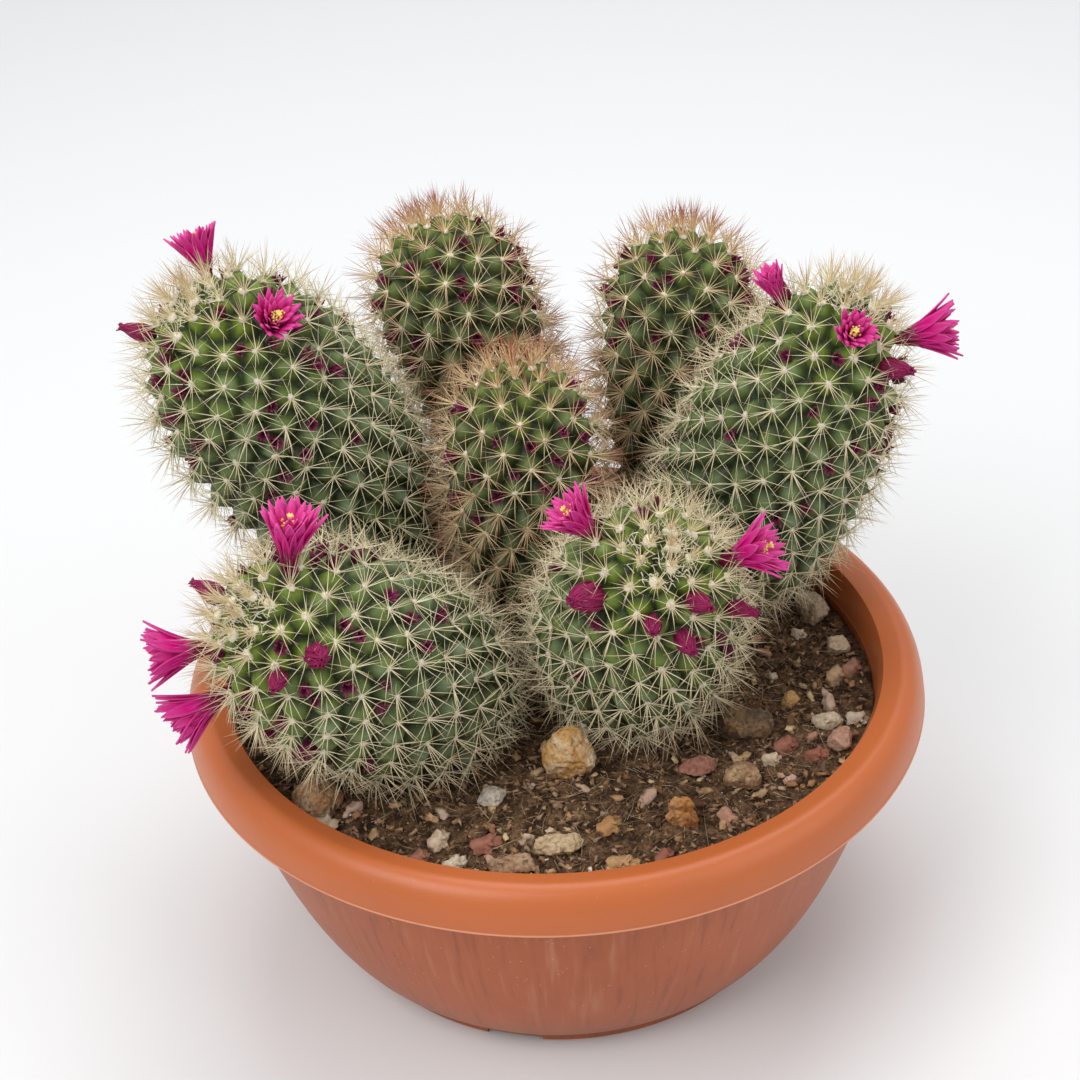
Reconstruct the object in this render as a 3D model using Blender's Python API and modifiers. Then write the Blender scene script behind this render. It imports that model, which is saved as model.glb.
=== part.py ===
"""A shallow terracotta-coloured bowl of round cacti: seven clustered stems with their flowers and buds.

Units are metres, +Z is up, and the origin is the centre of the bowl's underside. Azimuths are in degrees
from +X towards +Y; the front of the bowl is -Y.
"""

import math
import random

import bmesh
import bpy
from mathutils import Matrix, Vector

MM = 0.001
GAP = 0.35 * MM  # air left between pieces that touch

# Bowl
RIM_RADIUS = 125 * MM
BOWL_HEIGHT = 104.8 * MM
RIM_HALF_WIDTH = 7.5 * MM
RIM_DROP = 13.3 * MM
BODY_TOP_RADIUS = RIM_RADIUS - 9.6 * MM
BODY_BASE_RADIUS = 0.5928 * RIM_RADIUS
BODY_ROUNDNESS = 0.546
BODY_SQUARENESS = 1.175
FOOT_RADIUS = BODY_BASE_RADIUS + 5.4 * MM
FOOT_WIDTH = 7.0 * MM
FOOT_HEIGHT = 2.2 * MM
FOOT_GAP_WIDTH = 19 * MM
FOOT_GAPS = 4
FOOT_GAP_AZIMUTH = -104.0
FLOOR_THICKNESS = 2.6 * MM
WALL_THICKNESS = 3.2 * MM
COLLAR_THICKNESS = 6.6 * MM  # wall where it meets the rim
PAD_RADIUS = 13 * MM
DRAIN_RADIUS = 4.5 * MM
DRAIN_CIRCLE = 0.376 * RIM_RADIUS
DRAINS = 6
BOWL_STEPS = 48
COLLAR_TOP = BOWL_HEIGHT - RIM_DROP  # where the side meets the rim
INNER_SHARES = (0.065, 0.153, 0.306, 0.525, 0.743, 0.967)  # heights of the profile, of COLLAR_TOP
OUTER_SHARES = (0.896, 0.678, 0.459, 0.262, 0.131)
FLOOR_TOP = FOOT_HEIGHT + FLOOR_THICKNESS
FLOOR_FILLET = 4 * MM
CUT_THROUGH = 8 * MM  # how far a cutter reaches past what it cuts

# The places and widths of everything that grows or lies in the bowl are listed in mm for a rim of this
# radius, and spread out or draw together with the rim.
LAID_OUT_FOR = 125 * MM
SPREAD = MM * RIM_RADIUS / LAID_OUT_FOR

# Soil
SOIL_LEVEL = BOWL_HEIGHT - 15.8 * MM
SOIL_CROWN = 2.0 * MM  # rise of the soil at the middle
SOIL_ROUGHNESS = 0.5 * MM
SOIL_FLAT_MIDDLE = 30 * MM  # the lumps fade out within this radius
SOIL_RINGS = (0.85, 0.665, 0.425)  # of the soil's own radius
SOIL_EDGE_DROP = 1.5 * MM

# Stems: root (x, y) on the soil, crown (x, y, height over the root), girth radius, where it is widest
# and how narrow its foot is (as fractions), and how square its shoulders are.
STEMS = {
    "stem_left": ((-44, 59), (-113, 31, 139), 38.2, 0.61, 0.48, 2.2),
    "stem_back_left": ((0, 87), (-39, 112, 124), 28.9, 0.74, 0.42, 2.6),
    "stem_back_right": ((41, 78), (55, 112, 116), 28.4, 0.74, 0.42, 2.1),
    "stem_centre": ((-8, 32), (-7, 36, 105), 26.8, 0.64, 0.55, 2.7),
    "stem_right": ((52, 44), (103, 22, 133), 35.0, 0.42, 0.37, 2.3),
    "stem_front_left": ((-27, -11), (-94, -72, 86), 35.7, 0.40, 0.53, 2.4),
    "stem_front_right": ((22, 2), (34, -56, 91), 33.8, 0.34, 0.47, 2.5),
}
ROOT_HEIGHT = SOIL_LEVEL + 1 * MM
ROOT_PLUG = 0.11  # length of the buried end, as a fraction of the stem
ROOT_TAPER = 0.45
SOCKET_TOP = 0.40  # how high the soil's sockets reach, as a fraction of the stem
CROWN_DIP = 1.0 * MM
STEM_COLUMNS = 24
SOCKET_COLUMNS = 16
TUBERCLE_ROWS = 9.6 * MM  # spacing of the rows of tubercles
TUBERCLE_DEPTH = 3.6 * MM
TUBERCLE_TWIST = 0.42  # turn from row to row, in columns
SHALLOWEST = 0.16  # furrows are never deeper than this fraction of the radius

# Flowers and buds: stem, height along it, azimuth round it (0 faces the front), length, mouth or girth
# radius, lean towards the crown in degrees.
FLOWERS = {
    "flower_left_facing": ("stem_left", 0.90, 55, 13, 8.5, 0),
    "flower_left_crown": ("stem_left", 0.97, 160, 15, 8.5, 0),
    "flower_front_left_upright": ("stem_front_left", 0.92, 118, 20, 9.0, -5),
    "flower_front_left_side": ("stem_front_left", 0.915, -100, 19, 8.5, 0),
    "flower_front_left_low": ("stem_front_left", 0.83, -76, 20, 8.5, 0),
    "flower_front_right_inner": ("stem_front_right", 0.88, -114, 16, 8.0, 0),
    "flower_front_right_outer": ("stem_front_right", 0.87, 100, 17, 9.5, 0),
    "flower_right_wilted": ("stem_right", 0.90, -100, 14, 5.0, 16),
    "flower_right_half_open": ("stem_right", 0.945, -10, 14, 6.5, 8),
    "flower_right_side": ("stem_right", 0.92, 86, 19, 9.0, 0),
}
BUDS = {
    "bud_left_side": ("stem_left", 0.95, -97, 10, 3.4, 0),
    "bud_front_left_upper": ("stem_front_left", 0.88, 34, 9, 4.6, 0),
    "bud_front_left_middle": ("stem_front_left", 0.91, 1, 8, 3.4, 0),
    "bud_front_left_crown": ("stem_front_left", 0.94, -150, 9, 3.6, 0),
    "bud_front_right_fat": ("stem_front_right", 0.87, -60, 12, 5.6, 0),
    "bud_front_right_right": ("stem_front_right", 0.93, 38, 10, 3.6, 0),
    "bud_front_right_middle": ("stem_front_right", 0.85, 21, 9, 3.6, 0),
    "bud_front_right_left": ("stem_front_right", 0.90, -5, 8, 3.2, 0),
    "bud_front_right_side": ("stem_front_right", 0.80, 70, 9, 3.2, 0),
    "bud_right_top": ("stem_right", 0.85, -138, 10, 3.4, 0),
    "bud_right_side": ("stem_right", 0.90, 44, 10, 4.0, 0),
}
FLOWER_SIDES = 16
BUD_SIDES = 8
PEDICEL_RADIUS = 1.7 * MM
PEDICEL_DEPTH = 3.0 * MM  # how far a flower's foot sits below the tubercles' tips
AXIL_MARGIN = 1.6 * GAP
AXIL_RISE = 2.5 * MM
TUBE_SHARE = 0.52  # a flower's tube and the two steps of its flare, as shares of its length
FLARES = ((0.24, 0.80), (0.24, 1.0))
NECK = 0.30  # the tube's upper end, of the mouth
THROAT = 0.26
THROAT_DEPTH = 0.60
PETAL_NOTCH = 0.80
PETAL_DIP = 0.10

# Stones and bark on the soil: x, y, width, depth, height, how deep it is set (fraction of its height).
# Near the rim a piece lies along the wall, and its width is measured from the middle outwards.
STONES = {
    "stone_large_cream": (3, -47, 18, 13, 25, 0.22),
    "stone_large_speckled": (-78, -57, 16, 23, 15, 0.30),
    "stone_small_pale": (-22, -59, 11, 8, 7, 0.35),
    "stone_long_tan": (93, 36, 10, 20, 11, 0.35),
    "stone_flat_grey": (62, -30, 20, 14, 14, 0.35),
    "stone_cream_by_rim": (99, 13, 9, 9, 8, 0.35),
    "stone_pink_by_rim": (93, -39, 9, 12, 8, 0.35),
    "stone_cream_right": (90, -28, 11, 8, 7, 0.35),
    "stone_orange_ball": (79, -16, 6.5, 6.5, 6.5, 0.35),
    "stone_brown": (59, -56, 13, 10, 9, 0.35),
    "stone_reddish": (44, -50, 14, 9, 6, 0.40),
    "bark_chip_upright": (38, -75, 11, 6, 15, 0.25),
    "bark_chip_flat": (-1, -85, 18, 9, 7, 0.35),
    "bark_chip_rim": (-16, -93, 8, 15, 6, 0.40),
}
STONES_BY_WALL = 0.704 * RIM_RADIUS
WEAR = (0.90, 1.04)  # least and most that a stone's point is pushed in or out

COLOURS = {
    "bowl": ((0.56, 0.155, 0.060), 0.42),
    "soil": ((0.040, 0.022, 0.014), 0.95),
    "stem": ((0.070, 0.130, 0.062), 0.60),
    "flower": ((0.56, 0.030, 0.300), 0.50),
    "bud": ((0.26, 0.020, 0.080), 0.55),
    "stone": ((0.46, 0.300, 0.200), 0.80),
    "bark": ((0.27, 0.120, 0.055), 0.90),
}

parts = None
cutters = None


def clear_scene():
    for obj in list(bpy.data.objects):
        bpy.data.objects.remove(obj, do_unlink=True)


def new_collection(name):
    collection = bpy.data.collections.new(name)
    bpy.context.scene.collection.children.link(collection)
    return collection


def material(name, kind):
    colour, roughness = COLOURS[kind]
    made = bpy.data.materials.new(name)
    made.use_nodes = True
    shader = made.node_tree.nodes["Principled BSDF"]
    shader.inputs["Base Color"].default_value = (*colour, 1.0)
    shader.inputs["Roughness"].default_value = roughness
    shader.inputs["Metallic"].default_value = 0.0
    return made


def add_object(name, mesh, kind, sharp=math.radians(35)):
    obj = bpy.data.objects.new(name, mesh)
    parts.objects.link(obj)
    mesh.materials.append(material(name, kind))
    mesh.shade_smooth()
    mesh.set_sharp_from_angle(angle=sharp)
    return obj


def add_cutter(name, mesh):
    obj = bpy.data.objects.new(name, mesh)
    cutters.objects.link(obj)
    obj.hide_render = True
    obj.display_type = "WIRE"
    return obj


def cut(obj, cutter):
    modifier = obj.modifiers.new(cutter.name, "BOOLEAN")
    modifier.operation = "DIFFERENCE"
    modifier.object = cutter


def mesh_of(name, bm):
    mesh = bpy.data.meshes.new(name)
    bmesh.ops.recalc_face_normals(bm, faces=bm.faces)
    bm.to_mesh(mesh)
    bm.free()
    return mesh


def ball_rows(columns, rows):
    """A UV sphere, and its vertices as (vertex, row from the bottom pole, column)."""
    bm = bmesh.new()
    bmesh.ops.create_uvsphere(bm, u_segments=columns, v_segments=rows, radius=1.0)
    placed = []
    for vert in bm.verts:
        row = round(rows * (1 - math.acos(max(-1.0, min(1.0, vert.co.z))) / math.pi))
        column = round(math.atan2(vert.co.y, vert.co.x) / (2 * math.pi) * columns) % columns
        placed.append((vert, row, column))
    return bm, placed


# ---------------------------------------------------------------- bowl


def body_radius(z):
    """Outer radius of the bowl's side at a height."""
    t = min(1.0, max(0.0, (z - 1.5 * MM) / (COLLAR_TOP - 1.5 * MM)))
    swell = (1 - (1 - t) ** BODY_SQUARENESS) ** BODY_ROUNDNESS
    return BODY_BASE_RADIUS + (BODY_TOP_RADIUS - BODY_BASE_RADIUS) * swell


def inner_radius(z):
    """Inner radius of the bowl's wall at a height."""
    share = max(0.0, min(1.0, z / COLLAR_TOP)) ** 3
    return body_radius(z) - WALL_THICKNESS - (COLLAR_THICKNESS - WALL_THICKNESS) * share


def bowl_profile():
    """Inner floor, up the inside, over the rim, down the outside and under the foot."""
    inside = [share * COLLAR_TOP for share in INNER_SHARES]
    points = [(0.0, FLOOR_TOP), (inner_radius(inside[0]) - FLOOR_FILLET, FLOOR_TOP)]
    points += [(inner_radius(z), z) for z in inside]
    lip = inner_radius(inside[-1]) + 0.4 * MM
    points.append((lip, COLLAR_TOP + 0.55 * RIM_DROP))
    points.append((lip + 1.6 * MM, COLLAR_TOP + 0.86 * RIM_DROP))
    for degrees in range(105, -1, -21):
        angle = math.radians(degrees)
        r = RIM_RADIUS - RIM_HALF_WIDTH + RIM_HALF_WIDTH * math.cos(angle)
        points.append((r, COLLAR_TOP + RIM_DROP * math.sin(angle)))
    points.append((RIM_RADIUS - 0.5 * MM, COLLAR_TOP - 0.6 * MM))
    points.append((BODY_TOP_RADIUS + 0.8 * MM, COLLAR_TOP + 0.6 * MM))
    points += [(body_radius(share * COLLAR_TOP), share * COLLAR_TOP) for share in OUTER_SHARES]
    points.append((FOOT_RADIUS, FOOT_HEIGHT + 1.2 * MM))
    points.append((FOOT_RADIUS, 0.0))
    points.append((FOOT_RADIUS - FOOT_WIDTH, 0.0))
    points.append((FOOT_RADIUS - FOOT_WIDTH, FOOT_HEIGHT))
    points.append((PAD_RADIUS, FOOT_HEIGHT))
    points.append((PAD_RADIUS, 0.0))
    points.append((0.0, 0.0))
    return points


def add_screw(obj, steps):
    screw = obj.modifiers.new("turn", "SCREW")
    screw.axis = "Z"
    screw.angle = math.tau
    screw.screw_offset = 0.0
    screw.steps = steps
    screw.render_steps = steps
    screw.use_merge_vertices = True
    screw.merge_threshold = 0.00005
    screw.use_smooth_shade = True


def build_bowl():
    profile = bowl_profile()
    mesh = bpy.data.meshes.new("bowl")
    edges = [(k, k + 1) for k in range(len(profile) - 1)]
    mesh.from_pydata([(r, 0.0, z) for r, z in profile], edges, [])
    bowl = bpy.data.objects.new("bowl", mesh)
    parts.objects.link(bowl)
    mesh.materials.append(material("bowl", "bowl"))
    add_screw(bowl, BOWL_STEPS)
    for k in range(FOOT_GAPS):
        azimuth = math.radians(FOOT_GAP_AZIMUTH + k * 360 / FOOT_GAPS)
        bm = bmesh.new()
        bmesh.ops.create_cube(bm, size=1.0)
        bmesh.ops.scale(bm, vec=(FOOT_WIDTH + CUT_THROUGH, FOOT_GAP_WIDTH, 2 * FOOT_HEIGHT), verts=bm.verts)
        place = Matrix.Rotation(azimuth, 4, "Z") @ Matrix.Translation((FOOT_RADIUS - FOOT_WIDTH / 2, 0, 0))
        bmesh.ops.transform(bm, matrix=place, verts=bm.verts)
        cut(bowl, add_cutter(f"foot_gap_{k + 1}", mesh_of("foot_gap", bm)))
    for k in range(DRAINS):
        azimuth = math.tau * (k + 0.5) / DRAINS
        bm = bmesh.new()
        depth = FLOOR_TOP + 2 * CUT_THROUGH
        bmesh.ops.create_cone(
            bm, cap_ends=True, segments=10, radius1=DRAIN_RADIUS, radius2=DRAIN_RADIUS, depth=depth
        )
        spot = (DRAIN_CIRCLE * math.cos(azimuth), DRAIN_CIRCLE * math.sin(azimuth), FLOOR_TOP / 2)
        bmesh.ops.translate(bm, vec=spot, verts=bm.verts)
        cut(bowl, add_cutter(f"drain_{k + 1}", mesh_of("drain", bm)))
    return bowl


# ---------------------------------------------------------------- soil


def soil_height(r, azimuth):
    """Height of the soil's uneven top."""
    swell = SOIL_CROWN * (1 - (r / inner_radius(SOIL_LEVEL)) ** 2)
    lumps = math.sin(3 * azimuth + 70 * r) + 0.7 * math.sin(5 * azimuth - 110 * r + 1.3)
    return SOIL_LEVEL + swell + SOIL_ROUGHNESS * lumps * min(1.0, r / SOIL_FLAT_MIDDLE)


def build_soil():
    """A turned plug that fills the bowl to just under the rim."""
    wall = [share * COLLAR_TOP for share in INNER_SHARES[0:5:2]]
    bottom = FLOOR_TOP + GAP
    rows = [(0.0, bottom), (inner_radius(wall[0]) - FLOOR_FILLET - GAP, bottom)]
    rows += [(inner_radius(z) - GAP, z + GAP / 2) for z in wall]
    edge = inner_radius(SOIL_LEVEL - SOIL_EDGE_DROP) - GAP
    rows += [(edge * share, None) for share in (1.0, *SOIL_RINGS, 0.0)]
    bm, placed = ball_rows(BOWL_STEPS, len(rows) - 1)
    for vert, row, column in placed:
        r, z = rows[row]
        azimuth = math.tau * column / BOWL_STEPS
        if z is None:
            z = soil_height(r, azimuth)
        vert.co = (r * math.cos(azimuth), r * math.sin(azimuth), z)
    return add_object("soil", mesh_of("soil", bm), "soil")


# ---------------------------------------------------------------- stems


class Stem:
    """A club-shaped stem about a straight line from its root to its crown."""

    def __init__(self, name):
        root, crown, girth, widest, foot, shoulder = STEMS[name]
        self.name = name
        self.root = Vector((root[0] * SPREAD, root[1] * SPREAD, ROOT_HEIGHT))
        self.crown = Vector((crown[0] * SPREAD, crown[1] * SPREAD, ROOT_HEIGHT + crown[2] * SPREAD))
        self.length = (self.crown - self.root).length
        self.along = (self.crown - self.root).normalized()
        front = Vector((0, -1, 0))
        self.front = (front - front.dot(self.along) * self.along).normalized()
        self.side = self.along.cross(self.front)
        self.girth = girth * SPREAD
        self.widest = widest
        self.foot = foot
        self.shoulder = shoulder

    def radius(self, s):
        """Radius over the tubercles' tips, s running from 0 at the soil to 1 at the crown."""
        if s < 0:
            return self.girth * self.foot * (1 - ROOT_TAPER * (s / ROOT_PLUG) ** 2)
        if s < self.widest:
            return self.girth * (self.foot + (1 - self.foot) * math.sin(math.pi / 2 * s / self.widest))
        return self.girth * math.sqrt(max(0.0, 1 - ((s - self.widest) / (1 - self.widest)) ** self.shoulder))

    def outward(self, azimuth):
        turn = math.radians(azimuth)
        return math.cos(turn) * self.front + math.sin(turn) * self.side

    def point(self, s, azimuth, inset=0.0):
        radius = max(0.0, self.radius(s) - inset)
        return self.root + s * self.length * self.along + radius * self.outward(azimuth)

    def normal(self, s, azimuth):
        rise = (self.radius(min(1.0, s + 0.005)) - self.radius(s - 0.005)) / (0.01 * self.length)
        return (self.outward(azimuth) - rise * self.along).normalized()

    def rows(self):
        """Heights of the rows of tubercles, evenly spaced along the stem's outline."""
        fine = [k / 400 for k in range(401)]
        travelled = [0.0]
        for low, high in zip(fine, fine[1:]):
            climb = (high - low) * self.length
            travelled.append(travelled[-1] + math.hypot(climb, self.radius(high) - self.radius(low)))
        count = round(travelled[-1] / TUBERCLE_ROWS)
        heights = []
        k = 0
        for step in range(count):
            while travelled[k] < travelled[-1] * step / count:
                k += 1
            heights.append(fine[k])
        return [-ROOT_PLUG, -ROOT_PLUG, -ROOT_PLUG / 2] + heights + [1.0]


def build_stem(stem):
    heights = stem.rows()
    bm, placed = ball_rows(STEM_COLUMNS, len(heights) - 1)
    last = len(heights) - 1
    for vert, row, column in placed:
        s = heights[row]
        azimuth = 360 / STEM_COLUMNS * (column + TUBERCLE_TWIST * row)
        if row == 0:
            vert.co = stem.root + s * stem.length * stem.along
        elif row == last:
            vert.co = stem.crown - CROWN_DIP * stem.along
        else:
            valley = min(TUBERCLE_DEPTH, SHALLOWEST * stem.radius(s))
            sunk = valley if (row + column) % 2 and row > 3 else 0.0
            vert.co = stem.point(s, azimuth, sunk)
    return add_object(stem.name, mesh_of(stem.name, bm), "stem", math.radians(60))


def socket_cutter(stem):
    """The hole in the soil round a stem's foot: the stem's own outline, one gap larger."""
    wider = 1 / math.cos(math.pi / SOCKET_COLUMNS)
    heights = [-ROOT_PLUG, -ROOT_PLUG, -ROOT_PLUG / 2, 0.0]
    heights += [SOCKET_TOP / 3, SOCKET_TOP * 2 / 3, SOCKET_TOP, SOCKET_TOP]
    bm, placed = ball_rows(SOCKET_COLUMNS, len(heights) - 1)
    for vert, row, column in placed:
        s = heights[row]
        azimuth = 360 / SOCKET_COLUMNS * column
        below = 2 * GAP if row < 2 else 0.0
        if row in (0, len(heights) - 1):
            vert.co = stem.root + (s * stem.length - below) * stem.along
        else:
            reach = stem.radius(s) * wider + 2 * GAP
            axis_point = stem.root + (s * stem.length - below) * stem.along
            vert.co = axis_point + reach * stem.outward(azimuth)
    return add_cutter(f"socket_{stem.name}", mesh_of("socket", bm))


# ---------------------------------------------------------------- flowers and buds


def grown_place(stem, s, azimuth, lean):
    """Turns local +Z to the way a flower points, with its foot sunk between the tubercles."""
    out = stem.normal(s, azimuth)
    tilt = math.radians(lean)
    way = (math.cos(tilt) * out + math.sin(tilt) * stem.along).normalized()
    foot = stem.point(s, azimuth) - PEDICEL_DEPTH * way
    return Matrix.Translation(foot) @ way.to_track_quat("Z", "Y").to_matrix().to_4x4()


def funnel_mesh(name, length, mouth):
    """A funnel of pointed petals: a cone drawn out to a flared, notched mouth with a hollow throat."""
    bm = bmesh.new()
    tube = TUBE_SHARE * length
    neck = NECK * mouth
    bmesh.ops.create_cone(
        bm, cap_ends=True, segments=FLOWER_SIDES, radius1=PEDICEL_RADIUS, radius2=neck, depth=tube
    )
    bmesh.ops.translate(bm, vec=(0, 0, tube / 2), verts=bm.verts)
    bm.faces.ensure_lookup_table()
    top = max(bm.faces, key=lambda face: face.calc_center_median().z)
    for share, flare in FLARES:
        made = bmesh.ops.extrude_discrete_faces(bm, faces=[top])
        top = made["faces"][0]
        grow = flare * mouth / max(vert.co.to_2d().length for vert in top.verts)
        for vert in top.verts:
            vert.co.x *= grow
            vert.co.y *= grow
            vert.co.z += share * length
    for k, vert in enumerate(top.verts):
        if k % 2:
            vert.co.x *= PETAL_NOTCH
            vert.co.y *= PETAL_NOTCH
            vert.co.z -= PETAL_DIP * length
    made = bmesh.ops.extrude_discrete_faces(bm, faces=[top])
    top = made["faces"][0]
    for k, vert in enumerate(top.verts):
        shrink = THROAT / PETAL_NOTCH if k % 2 else THROAT
        vert.co.x *= shrink
        vert.co.y *= shrink
        vert.co.z = THROAT_DEPTH * length
    return mesh_of(name, bm)


def bud_mesh(name, length, girth):
    """A closed bud, widest at two fifths of its length, with a blunt point."""
    rows = 6
    bm, placed = ball_rows(BUD_SIDES, rows)
    for vert, row, column in placed:
        t = row / rows
        swell = math.sin(math.pi * t**0.75) ** 0.8 if 0 < t < 1 else 0.0
        r = max(girth * swell, PEDICEL_RADIUS * 0.9 if row == 1 else 0.0)
        angle = math.tau * column / BUD_SIDES
        vert.co = (r * math.cos(angle), r * math.sin(angle), length * t)
    return mesh_of(name, bm)


def axil_cutter(name, foot, reach, place):
    """The axil that a flower or bud grows out of: its own lower outline, one gap larger."""
    bm = bmesh.new()
    deep = PEDICEL_DEPTH + AXIL_RISE
    bmesh.ops.create_cone(bm, cap_ends=True, segments=12, radius1=foot, radius2=reach, depth=deep + GAP)
    bmesh.ops.translate(bm, vec=(0, 0, (deep - GAP) / 2), verts=bm.verts)
    bmesh.ops.transform(bm, matrix=place, verts=bm.verts)
    return add_cutter(f"axil_{name}", mesh_of("axil", bm))


def build_grown(stems, bodies):
    for table, kind in ((FLOWERS, "flower"), (BUDS, "bud")):
        for name, (stem_name, s, azimuth, length, width, lean) in table.items():
            length *= SPREAD
            width *= SPREAD
            place = grown_place(stems[stem_name], s, azimuth, lean)
            if kind == "flower":
                mesh = funnel_mesh(name, length + PEDICEL_DEPTH, width)
                foot = PEDICEL_RADIUS
                reach = PEDICEL_RADIUS + 0.45 * (NECK * width - PEDICEL_RADIUS) + AXIL_MARGIN
            else:
                mesh = bud_mesh(name, length + PEDICEL_DEPTH, width)
                foot = 0.80 * width
                reach = width
            obj = add_object(name, mesh, kind)
            obj.matrix_world = place
            axil = axil_cutter(name, foot + AXIL_MARGIN, max(reach, foot) + AXIL_MARGIN, place)
            cut(bodies[stem_name], axil)


# ---------------------------------------------------------------- stones and bark


def stone_mesh(name, size, seed, turn, extra):
    """A water-worn lump: a ball stretched to size, with its points pushed in and out a little."""
    noise = random.Random(seed)
    bm = bmesh.new()
    bmesh.ops.create_icosphere(bm, subdivisions=2, radius=0.5)
    for vert in bm.verts:
        push = noise.uniform(*WEAR)
        vert.co = Vector((vert.co.x * size[0], vert.co.y * size[1], vert.co.z * size[2])) * push
        vert.co += vert.co.normalized() * extra
    bmesh.ops.transform(bm, matrix=Matrix.Rotation(turn, 4, "Z"), verts=bm.verts)
    return mesh_of(name, bm)


def build_stones(soil):
    for seed, (name, (x, y, width, depth, height, set_in)) in enumerate(STONES.items()):
        size = (width * SPREAD, depth * SPREAD, height * SPREAD)
        x *= SPREAD
        y *= SPREAD
        ground = soil_height(math.hypot(x, y), math.atan2(y, x))
        centre = (x, y, ground + size[2] * (0.5 - set_in))
        by_wall = math.hypot(x, y) > STONES_BY_WALL
        turn = math.atan2(y, x) if by_wall else 0.0
        kind = "bark" if name.startswith("bark") else "stone"
        stone = add_object(name, stone_mesh(name, size, seed, turn, 0.0), kind)
        stone.location = centre
        pit = add_cutter(f"pit_{name}", stone_mesh("pit", size, seed, turn, 2 * GAP))
        pit.location = centre
        cut(soil, pit)


def main():
    global parts, cutters
    clear_scene()
    parts = new_collection("Potted round cactus")
    cutters = new_collection("Cutters")
    cutters.hide_render = True
    build_bowl()
    soil = build_soil()
    stems = {name: Stem(name) for name in STEMS}
    bodies = {}
    for name, stem in stems.items():
        bodies[name] = build_stem(stem)
        cut(soil, socket_cutter(stem))
    build_stones(soil)
    build_grown(stems, bodies)


main()
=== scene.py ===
"""The looks of a potted round cactus: a bowl, gritty soil, seven spiny stems, their flowers and buds.

Everything is in metres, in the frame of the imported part: +Z up, the bowl standing on Z = 0 about the
Z axis, and -Y towards the front.
"""

import math

import bmesh
import bpy
import numpy as np
from bpy.props import FloatProperty, FloatVectorProperty, IntProperty, PointerProperty
from mathutils import Matrix, Vector, noise
from mathutils.kdtree import KDTree


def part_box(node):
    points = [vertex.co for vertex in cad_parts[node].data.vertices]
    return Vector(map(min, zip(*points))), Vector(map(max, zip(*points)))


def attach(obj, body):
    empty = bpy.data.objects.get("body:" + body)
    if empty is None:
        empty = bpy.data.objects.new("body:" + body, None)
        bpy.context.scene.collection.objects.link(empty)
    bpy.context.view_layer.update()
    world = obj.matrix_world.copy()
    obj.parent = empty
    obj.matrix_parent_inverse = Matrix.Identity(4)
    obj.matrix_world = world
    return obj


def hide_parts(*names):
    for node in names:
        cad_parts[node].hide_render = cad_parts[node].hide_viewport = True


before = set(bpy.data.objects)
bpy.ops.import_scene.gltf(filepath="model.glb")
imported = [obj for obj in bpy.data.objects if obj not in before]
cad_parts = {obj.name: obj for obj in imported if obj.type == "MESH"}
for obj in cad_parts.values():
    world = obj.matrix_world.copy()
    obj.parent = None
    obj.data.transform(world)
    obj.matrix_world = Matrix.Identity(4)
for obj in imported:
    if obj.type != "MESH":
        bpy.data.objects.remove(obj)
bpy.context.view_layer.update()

bl_info = {
    "name": "Potted round cactus",
    "version": (1, 0, 0),
    "blender": (4, 5, 0),
    "location": "3D View > Sidebar > Cactus",
    "description": "Dresses the packed cactus bowl in its finished surfaces",
    "category": "Object",
}

MM = 0.001
TAU = math.tau
GOLDEN_ANGLE = math.radians(137.508)

# Each stem: root (x, y) on the soil and crown (x, y, z) in mm, girth radius in mm, where it is widest and
# how narrow its foot is as shares, how square its shoulders are, and how it is clothed.
STEMS = {
    "stem_left": ((-44, 59), (-113, 31, 229), 38.2, 0.61, 0.48, 2.2, "woolly"),
    "stem_back_left": ((0, 87), (-39, 112, 214), 28.9, 0.74, 0.42, 2.6, "bristly"),
    "stem_back_right": ((41, 78), (55, 112, 206), 28.4, 0.74, 0.42, 2.1, "bristly"),
    "stem_centre": ((-8, 32), (-7, 36, 195), 26.8, 0.64, 0.55, 2.7, "bristly"),
    "stem_right": ((52, 44), (103, 22, 223), 35.0, 0.42, 0.37, 2.3, "woolly"),
    "stem_front_left": ((-27, -11), (-94, -72, 176), 35.7, 0.40, 0.53, 2.4, "woolly"),
    "stem_front_right": ((22, 2), (34, -56, 181), 33.8, 0.34, 0.47, 2.5, "woolly"),
}
ROOT_HEIGHT = 90 * MM
ROOT_PLUG = 0.11  # buried end, as a share of the stem
LOW_SHARE = 0.66  # up to where a bristly stem carries more spines

# How far from the crown skin, spines and wool stay young.
SKIN_YOUTH = 30 * MM
SPINE_YOUTH = 16 * MM
WOOL_YOUTH = 20 * MM

SPINE_WIDTH = 9.6 * MM  # one unit across a spine's pattern
CAP_REACH = 12 * MM  # radius of a woolly cap
CAP_HAIRS = 170
FIT = 6 * MM  # how far a stem's top may miss its solid

# How a kind of stem is clothed: radial and central spines to a tuft, their length in mm, how many more
# stand in a young tuft and in one low on the stem, and the length of the crown's spines against the rest.
CLOTHING = {
    "woolly": {"radials": 10, "centrals": 3, "spine": 12.0, "more": 17, "low": 0, "crown_length": 0.96},
    "bristly": {"radials": 13, "centrals": 4, "spine": 11.5, "more": 8, "low": 14, "crown_length": 1.14},
}

# How many dried flowers each stem carries.
DRIED_FLOWERS = {
    "stem_left": 56,
    "stem_back_left": 38,
    "stem_back_right": 42,
    "stem_centre": 34,
    "stem_right": 38,
    "stem_front_left": 46,
    "stem_front_right": 16,
}

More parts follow.
